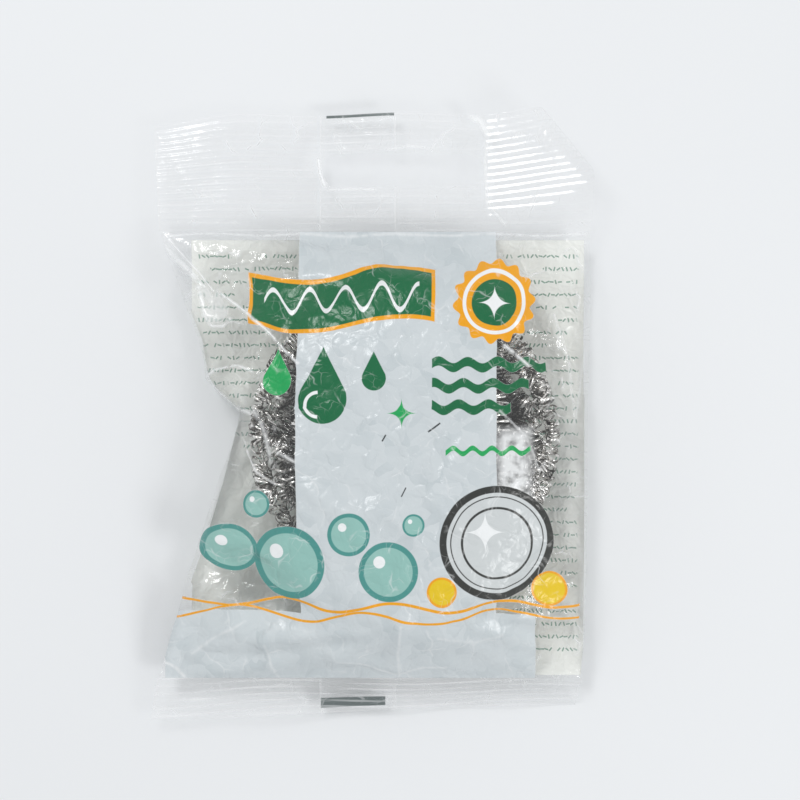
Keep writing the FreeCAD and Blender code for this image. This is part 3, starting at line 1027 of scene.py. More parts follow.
@dataclass
class Scrubber:
    """Pot scrubber wound from long curls of flat steel ribbon."""

    strands: tuple[str, ...] = ("core_strand_lower", "core_strand_upper", "middle_strand_lower",
                                "middle_strand_upper", "rim_strand")
    strand_radius: float = 5.4
    wander: float = 3.7
    curl_radius: float = 1.65
    curl_step: float = 1.6
    passes: int = 9
    points_per_curl: int = 14
    ribbon_width: float = 0.58
    ribbon_thickness: float = 0.08
    lens_power: float = 3.0
    skin: float = 0.3
    drift_waves: int = 7

    def __post_init__(self) -> None:
        """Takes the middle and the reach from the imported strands."""
        low, high = box_of(*self.strands)
        self.middle = (low + high) / 2
        self.reach = (high[0] - low[0]) / 2
        self.half_height = (high[2] - low[2]) / 2

    def envelope(self, grow: float, travel: tuple[float, float]) -> bpy.types.Object:
        """Makes the space that the scrubber sweeps as it shifts.

        Args:
            grow: Room left all round it.
            travel: How far it shifts down and up the pouch.

        Returns:
            A closed lens, stretched along the travel.
        """
        bpy.ops.object.select_all(action="DESELECT")
        bpy.ops.mesh.primitive_uv_sphere_add(segments=64, ring_count=28, radius=1)
        made = bpy.context.object
        ball = points_of(made.data)
        flat = np.hypot(ball[:, 0], ball[:, 1])
        bulge = 2 / self.lens_power
        radius = (self.reach + grow) * flat ** bulge
        turn = np.arctan2(ball[:, 1], ball[:, 0])
        upper, lower = ball[:, 1] > POLE_EDGE, ball[:, 1] < -POLE_EDGE
        shift = np.where(upper, travel[1], np.where(lower, travel[0], sum(travel) / 2))
        rise = (self.half_height + grow) * np.sign(ball[:, 2]) * np.abs(ball[:, 2]) ** bulge
        move_points(made.data, np.stack([
            self.middle[0] + radius * np.cos(turn), self.middle[1] + radius * np.sin(turn) + shift,
            self.middle[2] + rise], axis=1))
        return made

    def drift(self, random: np.random.Generator, share: np.ndarray, slowest: float,
              fastest: float) -> np.ndarray:
        """Smooth random series.

        Args:
            random: Source of the draws.
            share: Place along the strand, from 0 to 1.
            slowest: Fewest swings along the strand.
            fastest: Most swings along the strand.

        Returns:
            Values from -1 to 1.
        """
        waves = []
        for _ in range(self.drift_waves):
            swings = random.uniform(slowest, fastest)
            waves.append(np.sin(2 * np.pi * (swings * share + random.uniform())))
        return np.tanh(0.75 * np.sum(waves, axis=0))

    def ribbon_points(self, node: str, seed: int) -> tuple[np.ndarray, np.ndarray, np.ndarray]:
        """Works out the run of one curled ribbon.

        Args:
            node: Strand that it follows.
            seed: Seed of its random draws.

        Returns:
            Points of the ribbon's middle, its width direction and its thickness direction.
        """
        random = np.random.default_rng(seed)
        low, high = box_of(node)
        ring = (high[0] - low[0]) / 2 - self.strand_radius
        level = (low[2] + high[2]) / 2
        curls = int(2 * np.pi * ring * self.passes / self.curl_step)
        share = np.linspace(0.0, 1.0, curls * self.points_per_curl)
        swings = self.passes * max(ring, 10.0) / 10.0
        stray = 0.01 * self.drift(random, share, swings, 3 * swings)
        turn = 2 * np.pi * (self.passes * share + stray) + seed
        radius = ring + self.wander * self.drift(random, share, swings, 3 * swings)
        height = level + self.wander * self.drift(random, share, swings, 3 * swings)
        x, y = self.middle[0] + radius * np.cos(turn), self.middle[1] + radius * np.sin(turn)
        line = np.stack([x, y, height], axis=1)
        run = np.gradient(line, axis=0)
        run /= np.linalg.norm(run, axis=1, keepdims=True)
        side = np.cross(run, (0.0, 0.0, 1.0))
        side /= np.linalg.norm(side, axis=1, keepdims=True)
        up = np.cross(side, run)
        angle = 2 * np.pi * (curls * share + 0.35 * self.drift(random, share, curls / 9, curls / 3))
        wide = self.curl_radius * (1 + 0.4 * self.drift(random, share, curls / 14, curls / 5))
        tall = self.curl_radius * (1 + 0.4 * self.drift(random, share, curls / 14, curls / 5))
        lean = 0.9 * self.drift(random, share, curls / 16, curls / 6)
        outward = side * np.cos(angle)[:, None] + up * np.sin(angle)[:, None]
        points = line + side * (wide * np.cos(angle))[:, None] + up * (tall * np.sin(angle))[:, None]
        points += run * (lean * np.sin(angle + seed))[:, None]
        return self.hold_in(points), run, outward

    def fill(self, points: np.ndarray) -> np.ndarray:
        """How far out in the scrubber's lens points lie, where 1 is on its surface."""
        off = points - self.middle
        flat = np.hypot(off[:, 0], off[:, 1]) / (self.reach - self.skin)
        tall = np.abs(off[:, 2]) / (self.half_height - self.skin)
        return (flat ** self.lens_power + tall ** self.lens_power) ** (1 / self.lens_power)

    def hold_in(self, points: np.ndarray) -> np.ndarray:
        """Presses points that reach out of the scrubber's lens back onto it."""
        return self.middle + (points - self.middle) / np.maximum(self.fill(points), 1.0)[:, None]

    def ribbon(self, node: str, seed: int) -> bpy.types.Object:
        """Builds one curled ribbon as a closed band.

        Args:
            node: Strand that it stands for.
            seed: Seed of its random draws.

        Returns:
            The ribbon.
        """
        middle, width_way, thick_way = self.ribbon_points(node, seed)
        half_width = width_way * self.ribbon_width / 2
        half_thick = thick_way * self.ribbon_thickness / 2
        corners = np.stack([middle - half_width - half_thick, middle + half_width - half_thick,
                            middle + half_width + half_thick, middle - half_width + half_thick], axis=1)
        count = len(middle)
        first = 4 * np.arange(count - 1)[:, None]
        sides = [np.concatenate([first + a, first + b, first + 4 + b, first + 4 + a], axis=1)
                 for a, b in ((0, 1), (1, 2), (2, 3), (3, 0))]
        ends = np.array([[3, 2, 1, 0], [4 * count - 4, 4 * count - 3, 4 * count - 2, 4 * count - 1]])
        faces = np.concatenate([*sides, ends])
        mesh = bpy.data.meshes.new(node)
        mesh.from_pydata((corners.reshape(-1, 3) * MM).tolist(), [], faces.tolist())
        # How far out each point lies in the scrubber, which sets the steel's painted shade in the depth.
        outer = np.repeat(self.fill(middle), 4).astype(np.float32)
        mesh.attributes.new(OUTER_SHARE, "FLOAT", "POINT").data.foreach_set("value", outer)
        made = bpy.data.objects.new(node.replace("strand", "ribbon"), mesh)
        bpy.context.collection.objects.link(made)
        self.map_rows(mesh, count)
        return made

    def map_rows(self, mesh: bpy.types.Mesh, count: int) -> None:
        """Lays the ribbon's faces out in rows on a map, for baking.

        Args:
            mesh: Mesh of the ribbon.
            count: Points along the ribbon.
        """
        faces = 4 * (count - 1) + 2
        per_row = math.ceil(math.sqrt(faces))
        index = np.arange(faces)
        corner = np.array([[0.0, 0.0], [0.9, 0.0], [0.9, 0.9], [0.0, 0.9]])
        cell = np.stack([index % per_row, index // per_row], axis=1)
        spots = (cell[:, None, :] + corner[None]) / per_row
        layer = mesh.uv_layers.new(name=BAKE_MAP)
        layer.data.foreach_set("uv", spots.astype(np.float32).ravel())

    def build(self, steel: bpy.types.Material) -> None:
        """Builds every ribbon and dresses it.

        Args:
            steel: Finish of the ribbons.
        """
        for seed, node in enumerate(self.strands, start=3):
            dress(self.ribbon(node, seed), "scrubber", "scrubber_steel", node, material=steel)


# Film pouch


@dataclass
class FilmPouch:
    """Film tube of the pouch, settled over the scrubber by a cloth simulation."""

    columns: int = 84
    rows: int = 94
    flat_width: float = 97.0
    flat_length: float = 110.0
    top_rise: float = 19.0
    back_drop: float = 5.3
    least_rise: float = 0.3
    arch_power: float = 2.6
    stir: float = 0.5
    room: float = 0.25
    frames: int = 60
    sim_scale: float = 0.02
    weld: float = 0.001
    end_edge: float = 0.01
    fin_lift: float = 0.3
    crumples: tuple[tuple[float, float], ...] = ((11.0, 0.7), (4.2, 0.3))
    station_shares: tuple[float, ...] = (0.0, 0.05, 0.105, 0.19, 0.31, 0.46, 0.69, 0.815, 0.895, 0.95, 1.0)
    bulge_shares: tuple[float, ...] = (0.0, 0.28, 0.58, 0.87, 0.98, 1.0, 0.97, 0.86, 0.57, 0.27, 0.0)
    left_outline: tuple[tuple[float, float], ...] = (
        (-58.0, -47.8), (-48.0, -44.3), (-30.0, -37.9), (-14.0, -33.0), (-5.0, -30.7), (1.5, -29.4),
        (5.0, -34.2), (8.5, -36.6), (16.3, -37.7), (22.0, -40.0), (34.0, -45.2), (40.4, -47.4))
    right_outline: tuple[tuple[float, float], ...] = (
        (-58.0, 46.0), (-50.0, 46.3), (0.0, 46.4), (20.0, 47.3), (38.5, 48.0), (40.4, 48.0))

    def __post_init__(self) -> None:
        """Takes the ends, the seam height and the fin's place from the frame."""
        _, self.header_line, self.seam = np.array(joint_named("header_fold")["pos_m"]) / MM
        _, self.tail_line, _ = np.array(joint_named("tail_fold")["pos_m"]) / MM
        self.fin_low, self.fin_high = box_of("back_fin_seam")
        self.fin_middle = (self.fin_low[0] + self.fin_high[0]) / 2

    def start_form(self, across: np.ndarray, along: np.ndarray, way: int) -> np.ndarray:
        """Shape of one ply before it settles.

        Args:
            across: Place across the film, from -1 to 1.
            along: Place along the film, from 0 at the header to 1 at the tail.
            way: 1 for the front, -1 for the back.

        Returns:
            A point for each place.
        """
        form = np.empty((len(across), 3))
        spread = np.sin(np.linspace(-np.pi / 2, np.pi / 2, 401))
        arch = (1 - np.abs(spread) ** self.arch_power) ** (1 / self.arch_power)
        for share in np.unique(along):
            here = along == share
            y = self.header_line + share * (self.tail_line - self.header_line)
            left = np.interp(y, *zip(*self.left_outline))
            right = np.interp(y, *zip(*self.right_outline))
            bulge = np.interp(share, self.station_shares, self.bulge_shares)
            rise = self.least_rise + bulge * (self.top_rise if way > 0 else self.back_drop)
            x = (left + right) / 2 + (right - left) / 2 * spread
            z = self.seam + way * rise * arch
            length = np.concatenate([[0.0], np.cumsum(np.hypot(np.diff(x), np.diff(z)))])
            places = (across[here] + 1) / 2 * length[-1]
            form[here] = np.stack([np.interp(places, length, x), np.full(here.sum(), y),
                                   np.interp(places, length, z)], axis=1)
        edge = (np.abs(across) > 0.9999) | (along < 1e-4) | (along > 0.9999)
        x, y = form[:, 0], form[:, 1]
        stir = self.stir * np.sin(0.31 * x + 0.17 * y) * np.sin(0.23 * y - 0.11 * x + 1.0)
        form[:, 2] += np.where(edge, 0.0, stir)
        form[edge, 2] = self.seam
        return form

    def ply(self, name: str, way: int, finishes: list[bpy.types.Material]) -> bpy.types.Object:
        """Adds one ply of the tube in its start form.

        Args:
            name: Name of the ply.
            way: 1 for the front, -1 for the back.
            finishes: Front and back finish.

        Returns:
            The ply, in millimetres.
        """
        made = unit_grid(name, self.columns, self.rows)
        grid = np.round(points_of(made.data), 5)
        form = self.start_form(2 * grid[:, 0], 0.5 - grid[:, 1], way)
        move_points(made.data, form)
        note_print(made.data, form[:, 0], form[:, 1])
        note_vectors(made.data, FLAT_PLACE, grid * (self.flat_width, self.flat_length, 0.0))
        for finish in finishes:
            made.data.materials.append(finish)
        made.data.polygons.foreach_set("material_index", [0 if way > 0 else 1] * len(made.data.polygons))
        if way < 0:
            edit(made, bpy.ops.mesh.flip_normals)
        return made

    def tube(self, finishes: list[bpy.types.Material]) -> bpy.types.Object:
        """Joins both plies along their sides and ends.

        Args:
            finishes: Front and back finish.

        Returns:
            The closed tube, in millimetres.
        """
        front, back = self.ply("film_tube", 1, finishes), self.ply("back_ply", -1, finishes)
        pick(front, back)
        bpy.ops.object.join()
        edit(front, bpy.ops.mesh.remove_doubles, threshold=self.weld)
        return front

    def settle_over(self, tube: bpy.types.Object, scrubber: Scrubber) -> None:
        """Lets the tube settle over the scrubber and the table.

        Args:
            tube: Tube in its start form, which takes its settled form.
            scrubber: What it wraps, with room for its travel.
        """
        low, high = (limit / MM for limit in joint_named("scrubber_shift")["range_m"])
        solid = scrubber.envelope(self.room, (low, high))
        bpy.ops.mesh.primitive_plane_add(size=400)
        table = bpy.context.object
        for each in (tube, solid, table):
            move_points(each.data, points_of(each.data) * self.sim_scale)
        for each in (solid, table):
            each.modifiers.new("Collision", "COLLISION")
            each.collision.thickness_outer = 0.006
            each.collision.thickness_inner = 0.1
            each.collision.cloth_friction = 5.0
            each.collision.damping = 0.5
        self.run_cloth(tube)
        for each in (solid, table):
            bpy.data.objects.remove(each)
        move_points(tube.data, points_of(tube.data) / self.sim_scale)

    def run_cloth(self, tube: bpy.types.Object) -> None:
        """Runs the cloth on the tube and keeps its last frame.

        Args:
            tube: Tube at the scale of the simulation.
        """
        flat = vectors_of(tube.data, FLAT_PLACE)
        tube.shape_key_add(name="Basis")
        rest = tube.shape_key_add(name="flat")
        rest.data.foreach_set("co", (flat * self.sim_scale).ravel())
        rest.value = 0.0
        at_edge = np.abs(flat[:, 0]) > self.flat_width / 2 - self.end_edge
        at_end = np.abs(flat[:, 1]) > self.flat_length / 2 - self.end_edge
        held = tube.vertex_groups.new(name="held")
        held.add(np.flatnonzero(at_edge | at_end).tolist(), 1.0, "REPLACE")
        cloth = tube.modifiers.new("Cloth", "CLOTH")
        values = {
            "quality": 8, "mass": 0.15, "air_damping": 2.0, "bending_model": "ANGULAR",
            "tension_stiffness": 60, "compression_stiffness": 60, "shear_stiffness": 30,
            "bending_stiffness": 0.05, "tension_damping": 15, "compression_damping": 15,
            "shear_damping": 10, "bending_damping": 0.5, "vertex_group_mass": "held",
            "rest_shape_key": rest, "use_pressure": True, "uniform_pressure_force": 0.05}
        for key, value in values.items():
            setattr(cloth.settings, key, value)
        cloth.settings.effector_weights.gravity = 0.1
        cloth.collision_settings.collision_quality = 3
        cloth.collision_settings.distance_min = 0.006
        cloth.collision_settings.use_self_collision = False
        cloth.point_cache.frame_end = self.frames
        for number in range(1, self.frames + 1):
            bpy.context.scene.frame_set(number)
        pick(tube)
        bpy.ops.object.convert(target="MESH")
        bpy.context.scene.frame_set(1)

    def refine(self, tube: bpy.types.Object) -> None:
        """Smooths the tube and adds its fine creases, and keeps its ends straight.

        Args:
            tube: Settled tube, in metres.
        """
        mesh = tube.data
        flat = vectors_of(mesh, FLAT_PLACE)
        at_end = np.abs(np.abs(flat[:, 1]) - self.flat_length / 2) < self.end_edge
        edges = np.empty(len(mesh.edges) * 2, np.int32)
        mesh.edges.foreach_get("vertices", edges)
        hard = at_end[edges.reshape(-1, 2)].all(axis=1)
        creases = mesh.attributes.new("crease_edge", "FLOAT", "EDGE")
        creases.data.foreach_set("value", hard.astype(np.float32))
        modify(tube, "SUBSURF", levels=1, render_levels=1)
        inner = tube.vertex_groups.new(name="inner")
        flat = vectors_of(mesh, FLAT_PLACE)
        weights = settle(self.flat_length / 2 - np.abs(flat[:, 1]), 0.0, 6.0)
        weights *= settle(self.flat_width / 2 - np.abs(flat[:, 0]), 0.0, 5.0)
        for index, weight in enumerate(weights):
            inner.add([index], float(weight), "REPLACE")
        for size, strength in self.crumples:
            crease = bpy.data.textures.new("crumple", "VORONOI")
            crease.noise_scale = size * MM
            modify(tube, "DISPLACE", texture=crease, strength=strength * MM, mid_level=0.5,
                   vertex_group="inner", texture_coords="LOCAL")
        self.press_folds(mesh, weights)

    def press_folds(self, mesh: bpy.types.Mesh, weights: np.ndarray) -> None:
        """Raises the named folds of the front.

        Args:
            mesh: Mesh of the tube, in metres.
            weights: How free each point is.
        """
        normals = np.empty(len(mesh.vertices) * 3, np.float32)
        mesh.vertex_normals.foreach_get("vector", normals)
        points, places = points_of(mesh), vectors_of(mesh, PRINT_PLACE)
        front = weights * settle(points[:, 2] / MM - self.seam, 0.0, 1.0)
        for fold in FRONT_FOLDS:
            ridge = np.maximum(1 - fold.distance(places[:, 0], places[:, 1]) / fold.reach, 0.0)
            points += normals.reshape(-1, 3) * (front * fold.height * ridge * MM)[:, None]
        move_points(mesh, points)

    def build(self, scrubber: Scrubber, front_finish: bpy.types.Material,
              back_finish: bpy.types.Material) -> list[bpy.types.Object]:
        """Builds the front, both backs and the fin seam.

        Args:
            scrubber: What the film wraps.
            front_finish: Finish of the front.
            back_finish: Finish of the backs and the fin.

        Returns:
            The front sheet, the left back, the right back and the fin strip.
        """
        tube = self.tube([front_finish, back_finish])
        self.settle_over(tube, scrubber)
        move_points(tube.data, points_of(tube.data) * MM)
        self.refine(tube)
        edit(tube, bpy.ops.mesh.separate, type="MATERIAL")
        parts = {each.data.materials[0].name: each for each in bpy.context.selected_objects}
        front, back = parts[front_finish.name], parts[back_finish.name]
        front.name = "front_sheet"
        low, high = self.fin_low, self.fin_high
        left = cut_copy(back, "back_sheet_left", (0, self.fin_middle, 1))
        right = cut_copy(back, "back_sheet_right", (0, self.fin_middle, -1))
        fin = cut_copy(back, "fin_strip", (0, high[0], 1), (0, low[0], -1),
                       (1, high[1], 1), (1, low[1], -1))
        modify(fin, "DISPLACE", strength=self.fin_lift * MM, mid_level=0.0)
        bpy.data.objects.remove(back)
        dress(front, "pouch", "printed_film", "front_film")
        dress(left, "pouch", "back_film", "back_film_left")
        dress(right, "pouch", "back_film", "back_film_right")
        dress(fin, "pouch", "back_film", "back_fin_seam")
        return [front, left, right, fin]


# End seals


@dataclass
class EndSeal:
    """Crimped film past one end of the pouch, where way is 1 up the pack and -1 down it."""

    columns: int = 190
    rows: int = 108
    rib_pitch: float = 1.5
    rib_rise: float = 0.15
    fin_gap: float = 0.3
    fin_columns: int = 34
    way: int = 1

    def ribs(self, past: np.ndarray) -> np.ndarray:
        """Height of the crimped ribs, by the distance past the fold line."""
        return self.rib_rise / 2 * np.sin(2 * np.pi * past / self.rib_pitch) * settle(past, 0.3, 1.8)

    def lie(self, x: np.ndarray, past: np.ndarray) -> np.ndarray:
        """Where flat film comes to lie.

        Args:
            x: Place across the film.
            past: Distance past the fold line.

        Returns:
            A point for each place.
        """
        raise NotImplementedError

    def sheet(self, name: str, columns: int, rows: int, left: np.ndarray, right: np.ndarray,
              near: float, far: float, sink: float = 0.0) -> bpy.types.Object:
        """Makes a sheet that lies as the seal does.

        Args:
            name: Name of the sheet.
            columns: Faces across.
            rows: Faces along.
            left: Left end at the near and the far edge.
            right: Right end at the near and the far edge.
            near: Distance of the near edge past the fold line.
            far: Distance of the far edge past the fold line.
            sink: How far it lies below the seal.

        Returns:
            The sheet, still flat, with its places on the print noted.
        """
        made = unit_grid(name, columns, rows)
        grid = points_of(made.data) + 0.5
        past = near + (far - near) * grid[:, 1]
        start = left[0] + (left[1] - left[0]) * grid[:, 1]
        end = right[0] + (right[1] - right[0]) * grid[:, 1]
        x = start + (end - start) * grid[:, 0]
        move_points(made.data, np.stack([x, past, np.full(len(x), -sink)], axis=1))
        return made

    def fin_band(self, name: str, node: str, rows: int) -> bpy.types.Object:
        """Makes the end of the fin that lies behind the seal.

        Args:
            name: Name of the band.
            node: Node whose box gives its size.
            rows: Faces along.

        Returns:
            The band, where it lies.
        """
        low, high = box_of(node)
        near, far = sorted(self.way * (edge - self.line) for edge in (low[1], high[1]))
        band = self.sheet(name, self.fin_columns, rows, (low[0], low[0]), (high[0], high[0]), near, far,
                          self.fin_gap)
        self.lay_down(band)
        return band

    def lay_down(self, made: bpy.types.Object) -> None:
        """Brings a flat sheet, in millimetres, to where it lies, and notes its print.

        Args:
            made: The sheet.
        """
        way = self.way
        flat = points_of(made.data)
        note_print(made.data, flat[:, 0], self.line + way * flat[:, 1])
        lying = self.lie(flat[:, 0], flat[:, 1])
        lying[:, 2] += flat[:, 2]
        move_points(made.data, lying * MM)
        if way < 0:
            edit(made, bpy.ops.mesh.flip_normals)


@dataclass
class Header(EndSeal):
    """Long crimped header with the hang slot and a turned up right corner."""

    left_ends: tuple[float, float] = (-47.4, -48.6)
    right_ends: tuple[float, float] = (48.0, 51.0)
    fin_rows: int = 44
    slot_width: float = 35.5
    slot_height: float = 7.2
    crease_x: float = 24.5
    lift_degrees: float = 11.0
    crease_blur: float = 1.2
    free_share: float = 0.35
    rise_share: float = 0.36
    least_rise_share: float = 0.18
    far_lift_share: float = 0.5
    low_corner_share: float = 0.095
    edge_wave: float = 0.35
    waves: tuple[float, float] = (0.12, 0.06)
    shear_share: float = 0.118
    roll_radius: float = 3.0
    roll_point: tuple[float, float] = (36.6, 67.5)
    roll_normal: tuple[float, float] = (0.77, 0.64)
    droop: float = 1.8
    hinge_gap: float = 0.1

    def __post_init__(self) -> None:
        """Takes the fold line, the length and the slot's place from the frame."""
        _, self.line, self.seam = np.array(joint_named("header_fold")["pos_m"]) / MM
        _, high = box_of("header_seal")
        self.length = high[1] - self.line
        mount = next(each for each in frame["record"]["mounts"] if each["name"] == "hang_slot")
        self.slot_x, self.slot_y, _ = np.array(mount["pos_m"]) / MM

    def lie(self, x: np.ndarray, past: np.ndarray) -> np.ndarray:
        """Where the header's film comes to lie, as EndSeal says.

        Args:
            x: Place across the film.
            past: Distance past the fold line.

        Returns:
            A point for each place.
        """
        share = past / self.length
        free = settle(share, 0.0, self.free_share)
        spread = np.maximum(x - self.crease_x, 0.0)
        soft = spread ** 2 / (spread + self.crease_blur)
        rise = np.maximum(self.rise_share * soft, self.least_rise_share * self.length)
        far_lift = self.far_lift_share * settle(share, 0.55, 0.95)
        lift = np.radians(self.lift_degrees) * (settle(past, 0.0, rise) + far_lift)
        lower_corner = settle(-x, 26.0, 50.0)
        out_x = np.where(spread > 0, self.crease_x + spread - soft * (1 - np.cos(lift)), x)
        reach = past * (1 - self.low_corner_share * lower_corner)
        out_y = self.line + reach + self.shear_share * soft * free
        out_y += self.edge_wave * np.sin(0.16 * x + 0.6) * share
        sag = self.droop * settle(share, 0.0, 1.0) * settle(-x, -26.0, 6.0)
        out_z = self.seam - sag + soft * np.sin(lift)
        broad, narrow = self.waves
        out_z += free * (broad * np.sin(0.19 * x + 0.9) + narrow * np.sin(0.33 * x - 0.21 * past))
        out_z += self.ribs(past)
        return self.roll_corner(np.stack([out_x, out_y, out_z], axis=1))

    def roll_corner(self, points: np.ndarray) -> np.ndarray:
        """Rolls the free corner up.

        Args:
            points: Points of the lying header.

        Returns:
            The points, with those past the roll line rolled.
        """
        normal = np.array(self.roll_normal)
        reach = (points[:, :2] - np.array(self.roll_point)) @ normal + self.roll_radius
        rolled = np.maximum(reach, 0.0)
        turn = rolled / self.roll_radius
        shift = self.roll_radius * np.sin(turn) - rolled
        points[:, :2] += shift[:, None] * normal
        points[:, 2] += self.roll_radius * (1 - np.cos(turn))
        return points

    def slot_offset(self, x: np.ndarray, y: np.ndarray) -> tuple[np.ndarray, np.ndarray]:
        """Measures places from the slot's middle line.

        Args:
            x: Places across the header.
            y: Places along the pack.

        Returns:
            Nearest points of the middle line, and distances from it.
        """
        half = (self.slot_width - self.slot_height) / 2
        inner_x = np.clip(x, self.slot_x - half, self.slot_x + half)
        axis = np.stack([inner_x, np.full(len(x), self.slot_y)], axis=1)
        return axis, np.hypot(x - axis[:, 0], y - axis[:, 1])

    def cut_slot(self, made: bpy.types.Object) -> None:
        """Cuts the hang slot out of the flat header and trues its rim.

        Args:
            made: Flat header, in millimetres.
        """
        mesh = made.data
        centres = np.array([tuple(face.center) for face in mesh.polygons])
        _, reach = self.slot_offset(centres[:, 0], self.line + centres[:, 1])
        pick(made)
        bpy.ops.object.mode_set(mode="EDIT")
        bpy.ops.mesh.select_mode(type="FACE")
        bpy.ops.mesh.select_all(action="DESELECT")
        bpy.ops.object.mode_set(mode="OBJECT")
        mesh.polygons.foreach_set("select", reach < self.slot_height / 2)
        bpy.ops.object.mode_set(mode="EDIT")
        bpy.ops.mesh.delete(type="FACE")
        bpy.ops.object.mode_set(mode="OBJECT")
        flat = points_of(mesh)
        axis, reach = self.slot_offset(flat[:, 0], self.line + flat[:, 1])
        uses = np.bincount([loop.edge_index for loop in mesh.loops], minlength=len(mesh.edges))
        rim = np.zeros(len(flat), bool)
        rim[[vertex for edge in mesh.edges if uses[edge.index] == 1 for vertex in edge.vertices]] = True
        rim &= reach < self.slot_height / 2 + 1.0
        places = np.stack([flat[:, 0], self.line + flat[:, 1]], axis=1)
        way = (places - axis) / np.maximum(reach, 1e-6)[:, None]
        trued = axis + way * self.slot_height / 2
        flat[rim, 0], flat[rim, 1] = trued[rim, 0], trued[rim, 1] - self.line
        move_points(mesh, flat)

    def build(self, finish: bpy.types.Material) -> list[bpy.types.Object]:
        """Builds the header and the two ends of the fin behind it.

        Args:
            finish: Finish of the crimped film.

        Returns:
            The header sheet and the fin bands below and above the slot.
        """
        made = self.sheet("header_sheet", self.columns, self.rows, self.left_ends, self.right_ends,
                          self.hinge_gap, self.length)
        self.cut_slot(made)
        self.lay_down(made)
        pieces = [dress(made, "header", "crimped_film", "header_seal", material=finish)]
        for name, node in (("header_fin_lower", "header_fin_below_slot"),
                           ("header_fin_upper", "header_fin_above_slot")):
            band = self.fin_band(name, node, self.fin_rows)
            pieces.append(dress(band, "header", "crimped_film", node, material=finish))
        return pieces


@dataclass
class Tail(EndSeal):
    """Short crimped seal at the bottom, which droops to the table."""

    rows: int = 40
    way: int = -1
    left_ends: tuple[float, float] = (-47.8, -49.4)
    right_ends: tuple[float, float] = (46.0, 44.8)
    fin_rows: int = 30
    left_degrees: float = 16.0
    right_degrees: float = 40.0
    left_run: float = 1.4
    wave: float = 0.4

    def __post_init__(self) -> None:
        """Takes the fold line and the length from the frame."""
        _, self.line, self.seam = np.array(joint_named("tail_fold")["pos_m"]) / MM
        low, _ = box_of("tail_seal")
        self.length = self.line - low[1]

    def lie(self, x: np.ndarray, past: np.ndarray) -> np.ndarray:
        """Where the tail's film comes to lie, as EndSeal says.

        Args:
            x: Place across the film.
            past: Distance past the fold line.

        Returns:
            A point for each place.
        """
        share = past / self.length
        across = settle(x, -48.0, 48.0)
        fall = np.radians(self.left_degrees + (self.right_degrees - self.left_degrees) * across)
        out_y = self.line - past * np.cos(fall) - self.left_run * share * settle(-x, -10.0, 48.0)
        out_z = self.seam - past * np.sin(fall) + share * self.wave * np.sin(0.24 * x + 0.5)
        out_z += self.ribs(past)
        return np.stack([x, out_y, out_z], axis=1)

    def build(self, finish: bpy.types.Material) -> list[bpy.types.Object]:
        """Builds the tail and the end of the fin behind it.

        Args:
            finish: Finish of the crimped film.

        Returns:
            The tail sheet and its fin band.
        """
        made = self.sheet("tail_sheet", self.columns, self.rows, self.left_ends, self.right_ends, 0.0,
                          self.length)
        self.lay_down(made)
        band = self.fin_band("tail_fin", "tail_fin_end", self.fin_rows)
        return [dress(made, "tail", "crimped_film", "tail_seal", material=finish),
                dress(band, "tail", "crimped_film", "tail_fin_end", material=finish)]


# Studio


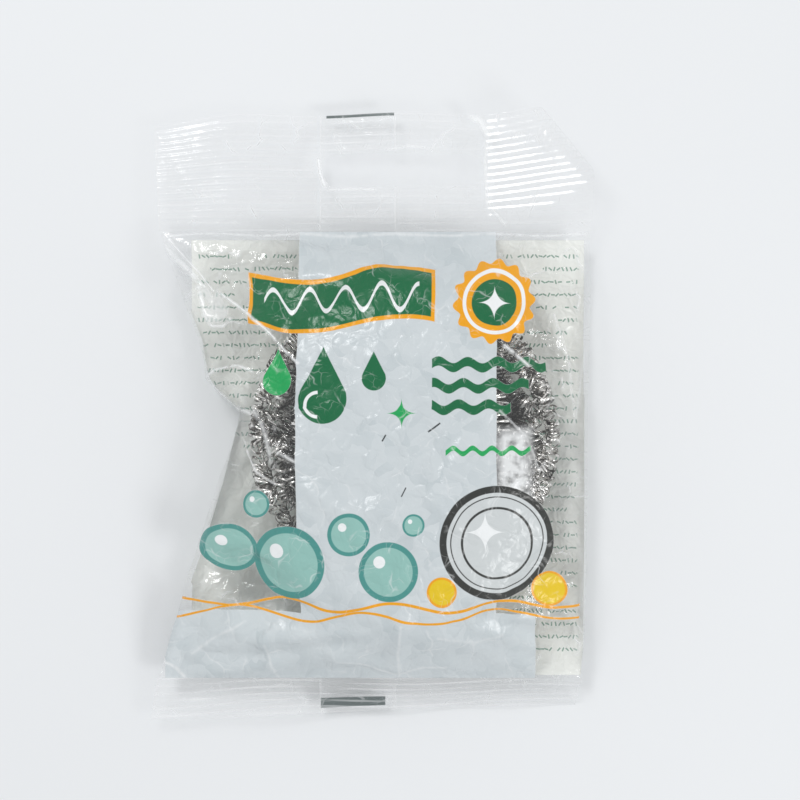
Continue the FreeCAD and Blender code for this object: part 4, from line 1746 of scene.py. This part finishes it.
@dataclass
class Studio:
    """White table, two soft lamps and a camera straight above."""

    field_width: float = 176.0
    camera_height: float = 660.0
    view_middle: tuple[float, float] = (5.8, 3.3)
    aim_height: float = 8.0
    sensor: float = 36.0
    world_strength: float = 0.66
    table_side: float = 4.0

    def build(self) -> None:
        """Builds the table, the light and the camera."""
        bpy.context.scene.view_settings.view_transform = "Standard"
        self.table()
        self.light()
        self.camera()

    def table(self) -> None:
        """Adds the table top, which isn't part of the object."""
        top = unit_grid("table_top", 4, 4)
        move_points(top.data, points_of(top.data) * self.table_side)
        top.data.materials.append(TableFinish().material())

    def light(self) -> None:
        """Adds an even sky, a key lamp from the upper left and a fill lamp from the right."""
        world = bpy.data.worlds.new("studio")
        bpy.context.scene.world = world
        world.use_nodes = True
        sky = world.node_tree.nodes["Background"].inputs
        sky["Color"].default_value = (0.98, 0.99, 1.0, 1.0)
        sky["Strength"].default_value = self.world_strength
        self.lamp("key", (-0.25, 0.37, 0.60), 0.18, 1.5)
        self.lamp("fill", (0.44, -0.24, 0.48), 0.19, 1.1)

    def lamp(self, name: str, place: tuple[float, float, float], size: float, power: float) -> None:
        """Adds a square soft lamp aimed at the object.

        Args:
            name: Name of the lamp.
            place: Where it stands, in metres.
            size: Its side, in metres.
            power: Its power, in watts.
        """
        data = bpy.data.lights.new(name, "AREA")
        data.size, data.energy = size, power
        lamp = bpy.data.objects.new(name, data)
        lamp.location = place
        lamp.rotation_euler = (Vector((0.0, 0.0, 0.01)) - Vector(place)).to_track_quat("-Z", "Y").to_euler()
        bpy.context.collection.objects.link(lamp)

    def camera(self) -> None:
        """Adds the camera, looking straight down."""
        data = bpy.data.cameras.new("camera")
        data.sensor_width = self.sensor
        data.lens = self.sensor * (self.camera_height - self.aim_height) / self.field_width
        camera = bpy.data.objects.new("camera", data)
        camera.location = (self.view_middle[0] * MM, self.view_middle[1] * MM, self.camera_height * MM)
        bpy.context.collection.objects.link(camera)
        bpy.context.scene.camera = camera


def declare_sheets(pouch: FilmPouch) -> None:
    """Works out, in metres, the flat widths of the two backs and the width and length of the fin, and does
    nothing with them.

    Args:
        pouch: Sizes of the pouch.
    """
    low, high, seam = pouch.fin_low, pouch.fin_high, pouch.fin_middle
    (pouch.flat_width / 2 + seam) * MM
    (pouch.flat_width / 2 - seam) * MM
    (high[0] - low[0]) * MM
    (high[1] - low[1]) * MM


def main() -> None:
    """Builds the scrubber, the film round it and the studio."""
    logging.basicConfig(level=logging.INFO, format="%(name)s: %(message)s")
    scrubber = Scrubber()
    scrubber.build(SteelFinish().material())
    pouch = FilmPouch()
    film = pouch.build(scrubber, FrontPrint().material(), BackPrint().material())
    header = Header()
    top = header.build(CrimpedFilm(glint_folds=HEADER_FOLD_GLINTS).material())
    tail_film = CrimpedFilm(name="crimped_tail_film", mark=(-4.6, -64.0, 14.3, 2.4), line=-58.0, haze=0.1,
                            rib_white_and_highlight=0.5, wave=0.7)
    bottom = Tail().build(tail_film.material())
    declare_sheets(pouch)
    Studio().build()


if __name__ == "__main__":
    main()
